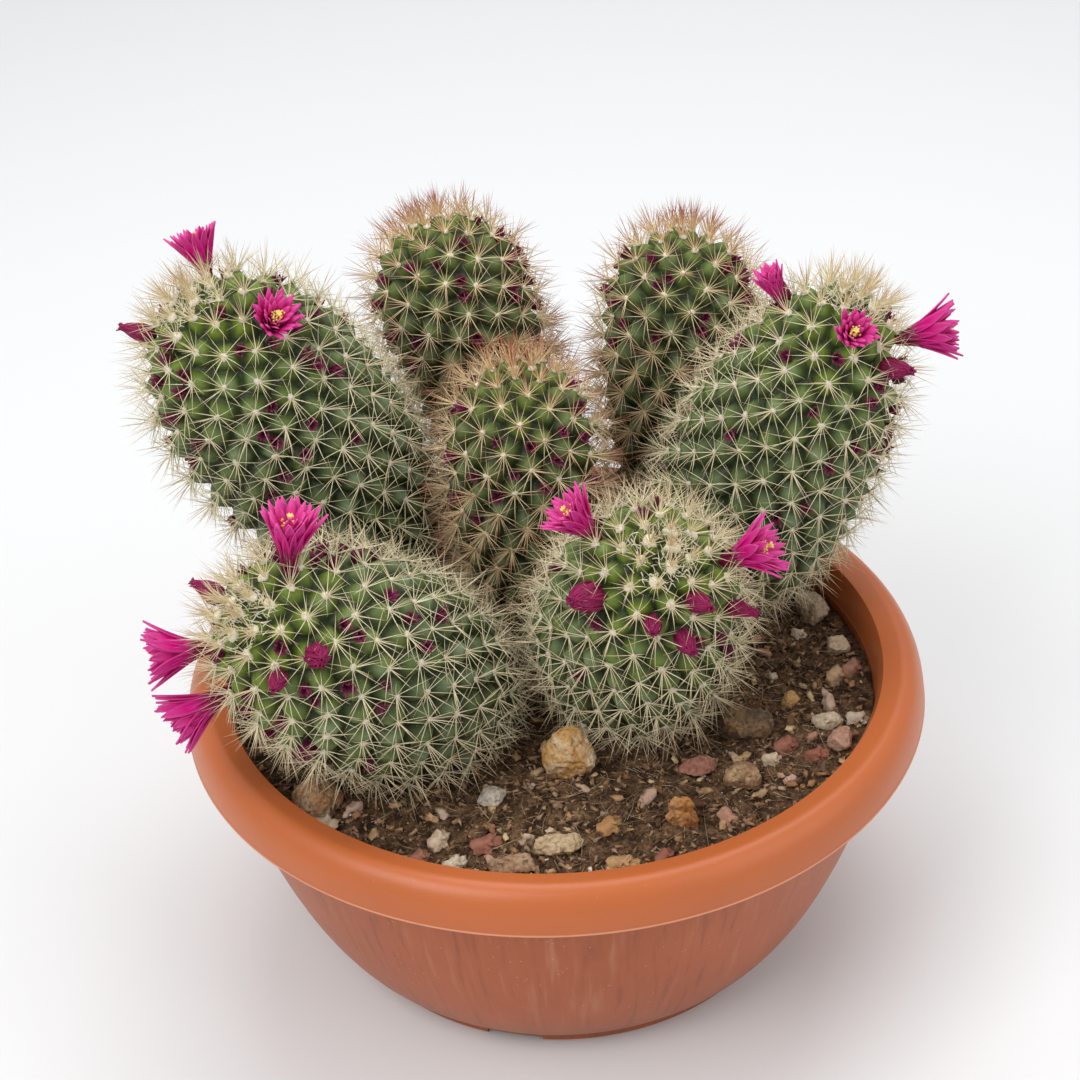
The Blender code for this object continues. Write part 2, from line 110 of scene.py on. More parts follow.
# Larger grit between the stones: x, y, width and height in mm, and its tone from reddish (0) to cream (1).
GRAVEL = (
    (-75, -70, 9, 7, 0.95),
    (104, 2, 10, 8, 0.30),
    (97, -4, 9, 8, 0.75),
    (101, -27, 8, 7, 1.00),
    (76, -40, 10, 7, 0.05),
    (85, -45, 8, 7, 0.00),
    (70, -47, 7, 6, 0.90),
    (16, -75, 10, 5, 0.60),
    (-23, -82, 10, 6, 0.05),
    (-38, -78, 9, 6, 0.90),
    (-33, -89, 8, 6, 1.00),
    (-44, -86, 8, 6, 0.10),
    (19, -94, 10, 5, 0.65),
    (32, -91, 8, 5, 0.00),
)


# ---------------------------------------------------------------- settings a user would change


def colour_property(name, description, default):
    return FloatVectorProperty(
        name=name, description=description, default=default, subtype="COLOR", size=3, min=0.0, max=1.0
    )


class CactusBowlSettings(bpy.types.PropertyGroup):
    rim_colour: colour_property("Rim colour", "Colour of the clean rolled rim", (0.50, 0.126, 0.034))
    body_colour: colour_property("Body colour", "Duller colour of the bowl's side", (0.405, 0.094, 0.026))
    dust_colour: colour_property("Dust colour", "Lime and dust dried on the side", (0.58, 0.31, 0.19))


class CactusSoilSettings(bpy.types.PropertyGroup):
    soil_colour: colour_property("Soil colour", "Moist potting soil", (0.052, 0.026, 0.013))
    dry_colour: colour_property("Dry colour", "Dry crumbs and fibres", (0.360, 0.200, 0.100))
    crumbs: IntProperty(name="Crumbs", description="Loose lumps of soil", default=6000, min=0)
    pebbles: IntProperty(name="Pebbles", description="Small stones on the soil", default=110, min=0)
    fibres: IntProperty(name="Fibres", description="Dry fibres on the soil", default=3800, min=0)


class CactusStemSettings(bpy.types.PropertyGroup):
    spacing: FloatProperty(
        name="Tubercle spacing",
        description="Distance between neighbouring tufts of spines",
        default=11.2 * MM,
        min=4 * MM,
        unit="LENGTH",
    )
    depth: FloatProperty(
        name="Tubercle depth",
        description="How far a tubercle stands out of the stem",
        default=6.0 * MM,
        min=0.0,
        unit="LENGTH",
    )
    old_colour: colour_property("Old skin", "Blue-grey green of the old skin", (0.086, 0.124, 0.040))
    young_colour: colour_property("Young skin", "Fresh green near the crown", (0.165, 0.250, 0.014))
    # Painted shade: this dark green is mixed into the furrows between tubercles to stand in for the shade
    # there.
    painted_furrow_shade_colour: colour_property("Furrows", "Dark green between tubercles", (0.011, 0.022, 0.006))
    straw_colour: colour_property("Straw spines", "Spines of the woolly stems", (0.88, 0.78, 0.52))
    rust_colour: colour_property("Rust spines", "Young spines of the bristly stems", (0.88, 0.66, 0.38))
    wool_colour: colour_property("Wool", "Wool of the crowns and tufts", (0.84, 0.78, 0.62))


class CactusFlowerSettings(bpy.types.PropertyGroup):
    petal_colour: colour_property("Petals", "Vivid magenta of the petals", (0.600, 0.002, 0.200))
    edge_colour: colour_property("Petal tips", "Paler pink of tips and edges", (0.850, 0.160, 0.480))
    bud_colour: colour_property("Buds", "Dark magenta of closed buds", (0.240, 0.007, 0.062))
    dried_colour: colour_property("Dried flowers", "Shrivelled flower remains", (0.120, 0.012, 0.040))
    pollen_colour: colour_property("Stamens", "Yellow stamens and stigma", (0.85, 0.60, 0.120))


class CactusStageSettings(bpy.types.PropertyGroup):
    floor_colour: colour_property("Floor", "Pale floor under the bowl", (0.765, 0.770, 0.773))
    lamp_power: FloatProperty(
        name="Lamp power",
        description="Power of the large soft lamp",
        default=12.5,
        min=0.0,
        subtype="POWER",
        unit="POWER",
    )


# ---------------------------------------------------------------- shader helpers


class Value:
    """A number that varies over a surface. Arithmetic on it adds Math nodes."""

    def __init__(self, finish, socket):
        self.finish = finish
        self.socket = socket

    def math(self, operation, *terms, clamp=False):
        node = self.finish.tree.nodes.new("ShaderNodeMath")
        node.operation = operation
        node.use_clamp = clamp
        for place, term in enumerate(terms):
            self.finish.feed(node.inputs[place], term)
        return Value(self.finish, node.outputs[0])

    def __add__(self, other):
        return self.math("ADD", self, other)

    def __radd__(self, other):
        return self.math("ADD", other, self)

    def __sub__(self, other):
        return self.math("SUBTRACT", self, other)

    def __rsub__(self, other):
        return self.math("SUBTRACT", other, self)

    def __mul__(self, other):
        return self.math("MULTIPLY", self, other)

    def __rmul__(self, other):
        return self.math("MULTIPLY", other, self)

    def __truediv__(self, other):
        return self.math("DIVIDE", self, other)

    def __pow__(self, other):
        return self.math("POWER", self, other)

    def past(self, edge, softness):
        """0 below the edge, 1 above it, over a soft step."""
        return self.math("DIVIDE", self - edge, softness, clamp=True)


class Finish:
    """A procedural material, built node by node on its Principled BSDF."""

    def __init__(self, name, fixed=None):
        self.material = bpy.data.materials.new(name)
        self.material.use_nodes = True
        self.tree = self.material.node_tree
        self.shader = self.tree.nodes["Principled BSDF"]
        for socket, number in (fixed or {}).items():
            self.shader.inputs[socket].default_value = number
        self.place = self.node("ShaderNodeTexCoord").outputs["Object"]

    def feed(self, socket, source):
        if isinstance(source, Value):
            source = source.socket
        if isinstance(source, bpy.types.NodeSocket):
            self.tree.links.new(source, socket)
        elif socket.type == "RGBA":
            socket.default_value = (*source, 1.0)
        else:
            socket.default_value = source

    def node(self, kind, settings=None, sockets=None):
        made = self.tree.nodes.new(kind)
        for name, value in (settings or {}).items():
            if name == "stops":
                ramp = made.color_ramp
                while len(ramp.elements) < len(value):
                    ramp.elements.new(0.5)
                for element, (position, colour) in zip(ramp.elements, value):
                    element.position = position
                    element.color = (*colour, 1.0)
            else:
                setattr(made, name, value)
        for name, source in (sockets or {}).items():
            self.feed(made.inputs[name], source)
        return made

    def noise(self, scale, detail=3.0, rough=0.5, vector=None):
        sockets = {"Vector": vector or self.place, "Scale": scale, "Detail": detail, "Roughness": rough}
        return Value(self, self.node("ShaderNodeTexNoise", None, sockets).outputs["Fac"])

    def cells(self, scale, vector=None):
        sockets = {"Vector": vector or self.place, "Scale": scale}
        return Value(self, self.node("ShaderNodeTexVoronoi", None, sockets).outputs["Distance"])

    def stretched(self, scale):
        """Object coordinates stretched by a factor along each axis."""
        return self.node("ShaderNodeMapping", None, {"Vector": self.place, "Scale": scale}).outputs[0]

    def turned(self, along):
        """The angle round the Z axis, and the height drawn out, as a texture's vector."""
        split = self.node("ShaderNodeSeparateXYZ", None, {"Vector": self.place})
        x, y, z = (Value(self, split.outputs[axis]) for axis in "XYZ")
        angle = y.math("ARCTAN2", y, x)
        return self.node("ShaderNodeCombineXYZ", None, {"X": angle, "Y": z * along}).outputs[0]

    def height(self):
        split = self.node("ShaderNodeSeparateXYZ", None, {"Vector": self.place})
        return Value(self, split.outputs["Z"])

    def attribute(self, name):
        return Value(self, self.node("ShaderNodeAttribute", {"attribute_name": name}).outputs["Fac"])

    def mix(self, share, first, second):
        made = self.node("ShaderNodeMix", {"data_type": "RGBA"})
        self.feed(made.inputs[0], share)
        self.feed(made.inputs[6], first)
        self.feed(made.inputs[7], second)
        return made.outputs[2]

    def ramp(self, share, stops):
        return self.node("ShaderNodeValToRGB", {"stops": stops}, {0: share}).outputs[0]

    def dress(self, base, roughness, relief=None, lift=0.3 * MM):
        self.feed(self.shader.inputs["Base Color"], base)
        self.feed(self.shader.inputs["Roughness"], roughness)
        if relief is not None:
            bump = self.node("ShaderNodeBump", None, {"Strength": 1.0, "Distance": lift, "Height": relief})
            self.feed(self.shader.inputs["Normal"], bump.outputs[0])
        return self.material


def tinted(colour, factor):
    return tuple(min(1.0, part * factor) for part in colour)


# ---------------------------------------------------------------- mesh helpers


def deselect():
    if bpy.context.mode != "OBJECT":
        bpy.ops.object.mode_set(mode="OBJECT")
    bpy.ops.object.select_all(action="DESELECT")


def pick(obj):
    deselect()
    obj.select_set(True)
    bpy.context.view_layer.objects.active = obj
    return obj


def apply_modifier(obj, kind, **settings):
    modifier = obj.modifiers.new(kind.lower(), kind)
    for name, value in settings.items():
        setattr(modifier, name, value)
    pick(obj)
    bpy.ops.object.modifier_apply(modifier=modifier.name)


def keep(obj, name, material, replaced=(), smooth=True):
    """Names a finished piece, gives it its material and lets it ride on the plant's one body."""
    obj.name = name
    obj.data.name = name
    obj.data.materials.clear()
    obj.data.materials.append(material)
    if smooth:
        obj.data.shade_smooth()
    else:
        obj.data.shade_flat()
    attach(obj, "root")
    if replaced:
        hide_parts(*replaced)
    return obj


def points_of(mesh):
    points = np.empty(len(mesh.vertices) * 3)
    mesh.vertices.foreach_get("co", points)
    return points.reshape(-1, 3)


def set_points(mesh, points):
    mesh.vertices.foreach_set("co", np.ascontiguousarray(points, np.float32).ravel())
    mesh.update()


def set_attribute(mesh, name, values):
    made = mesh.attributes.get(name) or mesh.attributes.new(name, "FLOAT", "POINT")
    made.data.foreach_set("value", np.ascontiguousarray(values, np.float32))


def set_evenly(mesh, **values):
    """Gives a whole mesh one value of each attribute."""
    for name, value in values.items():
        set_attribute(mesh, name, np.full(len(mesh.vertices), value))


class Pattern:
    """A shape modelled once: its points, its faces and how far each point is from its foot."""

    def __init__(self, obj):
        mesh = obj.data
        self.points = points_of(mesh)
        self.sizes = np.array([len(face.vertices) for face in mesh.polygons])
        self.corners = np.array([index for face in mesh.polygons for index in face.vertices])
        low, high = self.points[:, 2].min(), self.points[:, 2].max()
        self.along = (self.points[:, 2] - low) / max(high - low, 1e-9)
        wide = max(abs(self.points[:, 0]).max(), 1e-9)
        self.across = abs(self.points[:, 0]) / wide
        bpy.data.objects.remove(obj)


def copies(name, pattern, turns, spots, marks):
    """One mesh with a copy of the pattern for each 3x3 turn and spot. Marks are values for each copy."""
    turns = np.asarray(turns)
    spots = np.asarray(spots)
    count, size = len(spots), len(pattern.points)
    points = np.einsum("nij,vj->nvi", turns, pattern.points) + spots[:, None, :]
    corners = (pattern.corners[None, :] + size * np.arange(count)[:, None]).ravel()
    totals = np.tile(pattern.sizes, count)
    starts = np.concatenate([[0], np.cumsum(totals)[:-1]])
    mesh = bpy.data.meshes.new(name)
    mesh.vertices.add(count * size)
    mesh.loops.add(len(corners))
    mesh.polygons.add(len(totals))
    mesh.vertices.foreach_set("co", points.astype(np.float32).ravel())
    mesh.loops.foreach_set("vertex_index", corners.astype(np.int32))
    mesh.polygons.foreach_set("loop_start", starts.astype(np.int32))
    mesh.update(calc_edges=True)
    mesh.validate()
    set_attribute(mesh, "along", np.tile(pattern.along, count))
    set_attribute(mesh, "across", np.tile(pattern.across, count))
    for mark, values in marks.items():
        set_attribute(mesh, mark, np.repeat(np.asarray(values, float), size))
    obj = bpy.data.objects.new(name, mesh)
    bpy.context.scene.collection.objects.link(obj)
    return obj


def scatter(name, pattern, turns, spots, marks, material, replaced=(), smooth=True):
    """Copies a pattern to every spot and keeps the copies as one finished piece."""
    return keep(copies(name, pattern, turns, spots, marks), name, material, replaced, smooth)


def unit(vectors):
    return vectors / np.maximum(np.linalg.norm(vectors, axis=-1, keepdims=True), 1e-12)


def turns_along(ways, rolls, lengths, widths=None):
    """Matrices that turn +Z to each way, rolled about it, and scale to a length and a width."""
    ways = unit(np.asarray(ways, float))
    helper = np.where(abs(ways[:, 2:3]) < 0.9, [[0.0, 0.0, 1.0]], [[1.0, 0.0, 0.0]])
    first = unit(np.cross(helper, ways))
    second = np.cross(ways, first)
    cos, sin = np.cos(rolls)[:, None], np.sin(rolls)[:, None]
    side = cos * first + sin * second
    other = np.cross(ways, side)
    lengths = np.asarray(lengths, float)
    widths = lengths if widths is None else np.asarray(widths, float)
    return np.stack([side * widths[:, None], other * widths[:, None], ways * lengths[:, None]], axis=2)


def turn_to(way):
    """The matrix that turns +Z to one way."""
    return turns_along(np.array([way]), np.array([0.0]), np.array([1.0]))[0]


def lumpy(obj, amount, scale, seed, detail=3):
    """Pushes an object's points in and out along their normals by smooth noise."""
    mesh = obj.data
    normals = np.empty(len(mesh.vertices) * 3)
    mesh.vertex_normals.foreach_get("vector", normals)
    offset = Vector((seed * 3.7, seed * 1.3, seed * 2.1))
    points = points_of(mesh)
    push = [noise.fractal(Vector(point) * scale + offset, 1.0, 2.0, detail) for point in points]
    set_points(mesh, points + amount * np.array(push)[:, None] * normals.reshape(-1, 3))


# ---------------------------------------------------------------- patterns that are copied


def needle(sides=3, girth=0.017, bend=0.07):
    """A spine: a slender cone one unit long, bent a little at its middle."""
    deselect()
    bpy.ops.mesh.primitive_cone_add(vertices=sides, radius1=girth, radius2=girth * 0.78, depth=0.5)
    obj = bpy.context.object
    bpy.ops.object.mode_set(mode="EDIT")
    bpy.ops.mesh.select_all(action="DESELECT")
    bm = bmesh.from_edit_mesh(obj.data)
    for vert in bm.verts:
        vert.co.z += 0.25
    top = max(bm.faces, key=lambda face: face.calc_center_median().z)
    top.select_set(True)
    bmesh.update_edit_mesh(obj.data)
    bpy.ops.mesh.extrude_region_move(TRANSFORM_OT_translate={"value": (0, 0, 0.5)})
    bpy.ops.mesh.merge(type="CENTER")
    bpy.ops.object.mode_set(mode="OBJECT")
    for vert in obj.data.vertices:
        vert.co.x += bend * vert.co.z**2
    return Pattern(obj)


def puff(subdivisions, flatness, roughness, seed):
    """A small lump: a wool tuft, a crumb of soil or a pebble, about one unit across."""
    deselect()
    bpy.ops.mesh.primitive_ico_sphere_add(subdivisions=subdivisions, radius=0.5)
    obj = bpy.context.object
    lumpy(obj, roughness, 2.3, seed)
    for vert in obj.data.vertices:
        vert.co.z *= flatness
    return Pattern(obj)


def blade(width, cup, flare, pointed, thickness=0.018, across=3, along=6):
    """A petal one unit long: a thin strip, pointed at the tip, cupped across and flaring outwards (+Y)."""
    deselect()
    bpy.ops.mesh.primitive_grid_add(x_subdivisions=across, y_subdivisions=along, size=1.0)
    obj = bpy.context.object
    for vert in obj.data.vertices:
        share = vert.co.y + 0.5
        side = vert.co.x * 2
        swell = 0.42 + 0.58 * math.sin(math.pi * min(1.0, share * 1.25 + 0.08) * 0.62)
        point = (1 - share**pointed) ** 0.62
        half = 0.5 * width * max(swell * point, 0.03)
        lean = flare * share**2.1
        vert.co = (side * half, lean - cup * width * (1 - side**2) * (1 - 0.5 * share), share)
    apply_modifier(obj, "SOLIDIFY", thickness=thickness, offset=0.0)
    return Pattern(obj)


# ---------------------------------------------------------------- stems


class Stem:
    """A club-shaped stem about a straight line from its root to its crown."""

    def __init__(self, name):
        root, crown, girth, widest, foot, shoulder, kind = STEMS[name]
        self.name = name
        self.kind = kind
        self.seed = list(STEMS).index(name) + 1
        self.root = np.array([root[0] * MM, root[1] * MM, ROOT_HEIGHT])
        self.crown = np.array(crown) * MM
        self.length = np.linalg.norm(self.crown - self.root)
        self.way = (self.crown - self.root) / self.length
        front = np.array([0.0, -1.0, 0.0])
        self.front = unit(front - front @ self.way * self.way)
        self.side = np.cross(self.way, self.front)
        self.girth, self.widest, self.foot, self.shoulder = girth * MM, widest, foot, shoulder

    def radius(self, s):
        s = np.asarray(s, float)
        low = self.foot + (1 - self.foot) * np.sin(math.pi / 2 * np.clip(s / self.widest, 0, 1))
        rise = np.clip((s - self.widest) / (1 - self.widest), 0, 1)
        high = np.sqrt(1 - rise**self.shoulder)
        buried = self.foot * (1 - 0.45 * (np.minimum(s, 0) / ROOT_PLUG) ** 2)
        return self.girth * np.where(s < 0, buried, np.where(s < self.widest, low, high))

    def out(self, azimuth):
        """The way straight out from the stem's line, at an angle round it from its front."""
        azimuth = np.asarray(azimuth, float)[..., None]
        return np.cos(azimuth) * self.front + np.sin(azimuth) * self.side

    def point(self, s, azimuth):
        s = np.asarray(s, float)[..., None]
        return self.root + s * self.length * self.way + self.radius(s) * self.out(azimuth)

    def normal(self, s, azimuth):
        s = np.asarray(s, float)[..., None]
        step = 0.004
        high, low = np.minimum(s + step, 1.0), s - step
        climb = (self.radius(high) - self.radius(low)) / ((high - low) * self.length)
        return unit(self.out(azimuth) - climb * self.way)

    def along(self, point):
        """How far up the stem's line a point lies."""
        return np.clip((point - self.root) @ self.way, 0, self.length)

    def gap(self, point):
        along = self.along(point)
        return np.linalg.norm(point - self.root - along * self.way) - self.radius(along / self.length)

    def outline(self, start, count=900):
        """Heights from the crown down to start, with the distance along the outline from the crown."""
        s = np.linspace(1.0, start, count)
        travelled = np.hypot(np.diff(s) * self.length, np.diff(self.radius(s)))
        return s, np.concatenate([[0.0], np.cumsum(travelled)])

    def tufts(self, spacing):
        """Height, azimuth, relative size and distance from the crown of every tuft of spines.

        They follow one spiral of golden angles from the crown, evenly spaced and closer near the crown.
        """
        s, away = self.outline(-0.02)
        size = 0.50 + 0.50 * np.clip(away / (26 * MM), 0, 1) ** 0.8
        cell = 0.87 * (spacing * size) ** 2
        middle = 0.5 * (self.radius(s[1:]) + self.radius(s[:-1]))
        grown = np.concatenate([[0.0], np.cumsum(TAU * middle * np.diff(away) / cell[1:])])
        order = np.arange(int(grown[-1])) + 0.5
        azimuth = order * GOLDEN_ANGLE + self.seed
        return (
            np.interp(order, grown, s),
            azimuth,
            np.interp(order, grown, size),
            np.interp(order, grown, away),
        )


def skin(stem, spacing, depth, material):
    """The stem's surface, drawn up into a cone under every tuft."""
    s_line, away_line = stem.outline(-0.6 * ROOT_PLUG)
    grain = 1.25 * MM
    rows = int(away_line[-1] / grain)
    columns = int(TAU * stem.girth / grain)
    deselect()
    bpy.ops.mesh.primitive_uv_sphere_add(segments=columns, ring_count=rows, radius=1.0)
    obj = bpy.context.object
    ball = points_of(obj.data)
    row = np.round(rows * np.arccos(np.clip(ball[:, 2], -1, 1)) / math.pi)
    azimuth = np.arctan2(ball[:, 1], ball[:, 0])
    away = row / rows * away_line[-1]
    s = np.interp(away, away_line, s_line)
    bottom = row == rows
    points = stem.point(s, azimuth)
    points[bottom] = stem.root + s[bottom][:, None] * stem.length * stem.way
    tuft_s, tuft_azimuth, size, _ = stem.tufts(spacing)
    tips = stem.point(tuft_s, tuft_azimuth)
    tree = KDTree(len(tips))
    for index, tip in enumerate(tips):
        tree.insert(tip, index)
    tree.balance()
    rise = np.ones(len(points))
    big = np.ones(len(points))
    for index, point in enumerate(points):
        (_, near, first), (_, _, second) = tree.find_n(point, 2)
        big[index] = size[near]
        share = min(1.0, (second - first) / (0.96 * spacing * size[near]))
        round_tip = max(0.0, 1 - (first / (0.62 * spacing * size[near])) ** 2)
        rise[index] = 0.66 * (1 - (1 - share) ** 1.45) + 0.34 * round_tip
    inset = depth * big * (1 - rise) + 0.3 * MM
    points -= np.where(bottom, 0.0, inset)[:, None] * stem.normal(s, azimuth)
    set_points(obj.data, points)
    set_attribute(obj.data, "rise", rise)
    waxy = 1.0 if stem.kind == "woolly" else 0.0
    set_attribute(obj.data, "fresh", (0.5 + 0.5 * waxy) * np.exp(-away / SKIN_YOUTH))
    set_attribute(obj.data, "low", np.clip(1 - s / 0.35, 0, 1))
    set_evenly(obj.data, waxy=waxy)
    pick(obj)
    bpy.ops.object.mode_set(mode="EDIT")
    bpy.ops.mesh.select_all(action="SELECT")
    bpy.ops.mesh.normals_make_consistent(inside=False)
    bpy.ops.object.mode_set(mode="OBJECT")
    check_fit(stem.name, points)
    keep(obj, f"{stem.name}_skin", material, [stem.name])


def check_fit(node, points):
    """Stops if a made surface misses the top corner of its solid's box."""
    _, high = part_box(node)
    above = points[points[:, 2] > ROOT_HEIGHT]
    miss = np.abs(above.max(0) - np.array(high)).max()
    if miss > FIT:
        raise RuntimeError(f"{node} misses its solid by {miss / MM:.1f} mm")


def spines(stem, spacing, pattern, material, rng):
    """The fans of radial and central spines on every tuft."""
    clothing = CLOTHING[stem.kind]
    ways, spots, lengths, fresh, dark = [], [], [], [], []
    s, azimuth, size, away = stem.tufts(spacing)
    tips = stem.point(s, azimuth)
    normals = stem.normal(s, azimuth)
    up = unit(stem.way - (normals @ stem.way)[:, None] * normals)
    side = np.cross(normals, up)
    for k in range(len(s)):
        youth = math.exp(-away[k] / SPINE_YOUTH)
        radials = clothing["radials"]
        number = radials + clothing["centrals"] + int(round(clothing["more"] * youth))
        number += clothing["low"] if s[k] < LOW_SHARE else 0
        turn = TAU * np.arange(number) / radials + rng.uniform(-0.2, 0.2, number) + rng.uniform(0, TAU)
        central = np.arange(number) >= radials
        tilt = np.where(central, rng.uniform(0.75, 1.45, number), rng.uniform(0.20, 0.62, number))
        way = np.cos(tilt)[:, None] * (np.cos(turn)[:, None] * up[k] + np.sin(turn)[:, None] * side[k])
        way += np.sin(tilt)[:, None] * normals[k]
        way = unit(way + 0.8 * youth * stem.way + 0.45 * youth * normals[k])
        reach = clothing["spine"] * MM * (0.70 + 0.30 * size[k]) * rng.uniform(0.76, 1.12, number)
        reach *= np.where(central, 1.08, 1.0) * (1 - youth + youth * clothing["crown_length"])
        ways.append(way)
        spots.append(np.repeat(tips[k][None, :] - 0.5 * MM * normals[k], number, axis=0))
        lengths.append(reach)
        fresh.append(np.full(number, youth))
        dark.append(np.where(central, rng.uniform(0.5, 1.0, number), rng.uniform(0.0, 0.35, number)))
    ways, spots = np.concatenate(ways), np.concatenate(spots)
    lengths = np.concatenate(lengths)
    widths = np.full(len(lengths), SPINE_WIDTH) * rng.uniform(0.75, 1.15, len(lengths))
    turns = turns_along(ways, rng.uniform(0, TAU, len(lengths)), lengths, widths)
    marks = {"fresh": np.concatenate(fresh), "dark": np.concatenate(dark)}
    scatter(f"{stem.name}_spines", pattern, turns, spots, marks, material, smooth=False)


def wool(stem, spacing, tuft, hair, material, rng):
    """A pad of wool in every tuft, and a woolly stem's cap."""
    s, azimuth, _, away = stem.tufts(spacing)
    normals = stem.normal(s, azimuth)
    youth = np.exp(-away / WOOL_YOUTH)
    spots = stem.point(s, azimuth) - 0.1 * MM * normals
    broad = MM * (1.9 + (2.4 if stem.kind == "woolly" else 1.0) * youth) * rng.uniform(0.8, 1.2, len(s))
    turns = turns_along(normals, rng.uniform(0, TAU, len(s)), broad * 0.8, broad)
    scatter(f"{stem.name}_wool", tuft, turns, spots, {"fresh": youth}, material)
    if stem.kind == "woolly":
        cap(stem, hair, material, rng)


def cap(stem, hair, material, rng):
    """The tangle of woolly hairs over the crown, longest at its middle."""
    s_line, away_line = stem.outline(0.2)
    far = CAP_REACH * np.sqrt(rng.uniform(0, 1, CAP_HAIRS))
    s = np.interp(far, away_line, s_line)
    turn = rng.uniform(0, TAU, CAP_HAIRS)
    normals = stem.normal(s, turn)
    ways = unit(normals + rng.normal(0, 0.5, (CAP_HAIRS, 3)))
    lengths = 4.6 * MM * rng.uniform(0.5, 1.2, CAP_HAIRS) * (1.1 - 0.5 * far / CAP_REACH)
    spots = stem.point(s, turn) - 1.2 * MM * normals
    turns = turns_along(ways, rng.uniform(0, TAU, CAP_HAIRS), lengths, np.full(CAP_HAIRS, 8 * MM))
    marks = {"fresh": np.ones(CAP_HAIRS)}
    scatter(f"{stem.name}_crown_wool", hair, turns, spots, marks, material, smooth=False)


def dried_flowers(stem, spacing, pattern, material, rng):
    """Shrivelled flowers left between the tubercles, in loose rings below the crown."""
    s, azimuth, size, away = stem.tufts(spacing)
    chance = np.exp(-(((away - 40 * MM) / (24 * MM)) ** 2)) * (away > 13 * MM)
    wanted = min(DRIED_FLOWERS[stem.name], int((chance > 1e-3).sum()))
    chosen = rng.choice(len(s), wanted, replace=False, p=chance / chance.sum())
    across = 0.5 * spacing * size[chosen]
    lower = s[chosen] - 0.30 * across / stem.length
    turn = azimuth[chosen] + across / np.maximum(stem.radius(lower), 1e-3) * rng.choice([-1, 1], wanted)
    normals = stem.normal(lower, turn)
    spots = stem.point(lower, turn) - 3.2 * MM * normals
    ways = unit(normals + rng.normal(0, 0.14, (wanted, 3)))
    petals = 8
    all_turns, all_spots, marks = [], [], []
    lengths = rng.uniform(3.8, 5.4, wanted) * MM
    for k in range(wanted):
        turns, outs = round_way(ways[k], petals, rng.normal(0.20, 0.10, petals), rng.uniform(0, TAU))
        reach = lengths[k] * rng.uniform(0.75, 1.1, petals)
        sizes = np.stack([np.full(petals, lengths[k]), reach, reach], 1)
        all_turns.append(turns * sizes[:, None, :])
        all_spots.append(spots[k] + 0.9 * MM * outs)
        marks.append(np.full(petals, rng.uniform()))
    turns, spots, marks = (np.concatenate(part) for part in (all_turns, all_spots, marks))
    name = f"{stem.name}_dried_flowers"
    scatter(name, pattern, turns, spots, {"dark": marks}, material, smooth=False)


def skin_finish(settings):
    """Waxy skin: painted shade in the furrows, grey-green bloom with a painted highlight on the cones, fresh
    green near the crown, pale flecks and scars.
    """
    finish = Finish("Cactus skin", {"Specular IOR Level": 0.35})
    rise = finish.attribute("rise")
    fresh = finish.attribute("fresh")
    low = finish.attribute("low")
    mottle = finish.noise(260, 4.0)
    patch = finish.noise(45, 2.0)
    old = finish.mix(patch.past(0.35, 0.35), settings.old_colour, tinted(settings.old_colour, 1.35))
    flesh = finish.mix((fresh * 1.9).past(0.08, 0.75), old, settings.young_colour)
    flesh = finish.mix(mottle.past(0.35, 0.4) * 0.4, flesh, tinted(settings.old_colour, 0.6))
    # Painted shade: the furrows between tubercles are darkened towards the furrow colour.
    painted_furrow_shade = 1 - rise.past(0.20, 0.55)
    base = finish.mix(painted_furrow_shade * 0.94, flesh, settings.painted_furrow_shade_colour)
    # Waxy bloom on the tubercle tops, partly a painted highlight: grey-green paling where light falls on the
    # cones.
    bloom_and_highlight = rise.past(0.40, 0.5) * (1 - fresh) * finish.noise(75, 3.0).past(0.44, 0.2)
    base = finish.mix(bloom_and_highlight * (finish.attribute("waxy") * 0.35 + 0.40), base, (0.26, 0.34, 0.22))
    flecks = 1 - finish.cells(900).past(0.10, 0.10)
    base = finish.mix(flecks * finish.noise(70, 2.0).past(0.5, 0.15) * 0.5, base, (0.36, 0.42, 0.30))
    corky = low * finish.noise(120, 4.0).past(0.42, 0.2)
    base = finish.mix(corky * 0.7, base, (0.20, 0.145, 0.09))
    roughness = 0.42 + mottle * 0.22 + bloom_and_highlight * 0.2
    relief = finish.noise(1400, 3.0) * 0.5 + mottle * 0.6
    return finish.dress(base, roughness, relief, 0.16 * MM)


def spine_finish(name, young, old, tip, tipped):
    """Dry spines: paler with age, with darker points on the central ones."""
    finish = Finish(name, {"Specular IOR Level": 0.35})
    along = finish.attribute("along")
    fresh = finish.attribute("fresh")
    dark = finish.attribute("dark")
    base = finish.mix((fresh * 1.5).past(0.0, 1.0), old, young)
    base = finish.mix(finish.noise(160, 2.0).past(0.4, 0.3) * 0.3, base, tinted(old, 0.62))
    points = along.past(0.25, 0.5) * (dark * 0.8 + fresh * 0.7 + 0.18) * tipped
    base = finish.mix(points, base, tip)
    return finish.dress(base, 0.5 + finish.noise(400, 2.0) * 0.2)


def wool_finish(settings):
    finish = Finish("Areole wool", {"Specular IOR Level": 0.2})
    fresh = finish.attribute("fresh")
    aged = tinted(settings.wool_colour, 0.80)
    base = finish.mix((fresh * 1.6).past(0.0, 1.0), aged, settings.wool_colour)
    base = finish.mix(finish.noise(700, 2.0).past(0.4, 0.4) * 0.35, base, tinted(settings.wool_colour, 0.72))
    return finish.dress(base, 0.9, finish.noise(2600, 3.0), 0.3 * MM)


def dried_finish(settings):
    finish = Finish("Dried flower")
    dark = finish.attribute("dark")
    along = finish.attribute("along")
    vivid = tinted(settings.petal_colour, 0.34)
    base = finish.mix(dark, settings.dried_colour, vivid)
    base = finish.mix(along.past(0.60, 0.4) * 0.40, base, (0.33, 0.085, 0.135))
    base = finish.mix(finish.noise(700, 3.0).past(0.45, 0.3) * 0.5, base, tinted(settings.dried_colour, 0.5))
    return finish.dress(base, 0.75, finish.noise(1500, 3.0), 0.3 * MM)


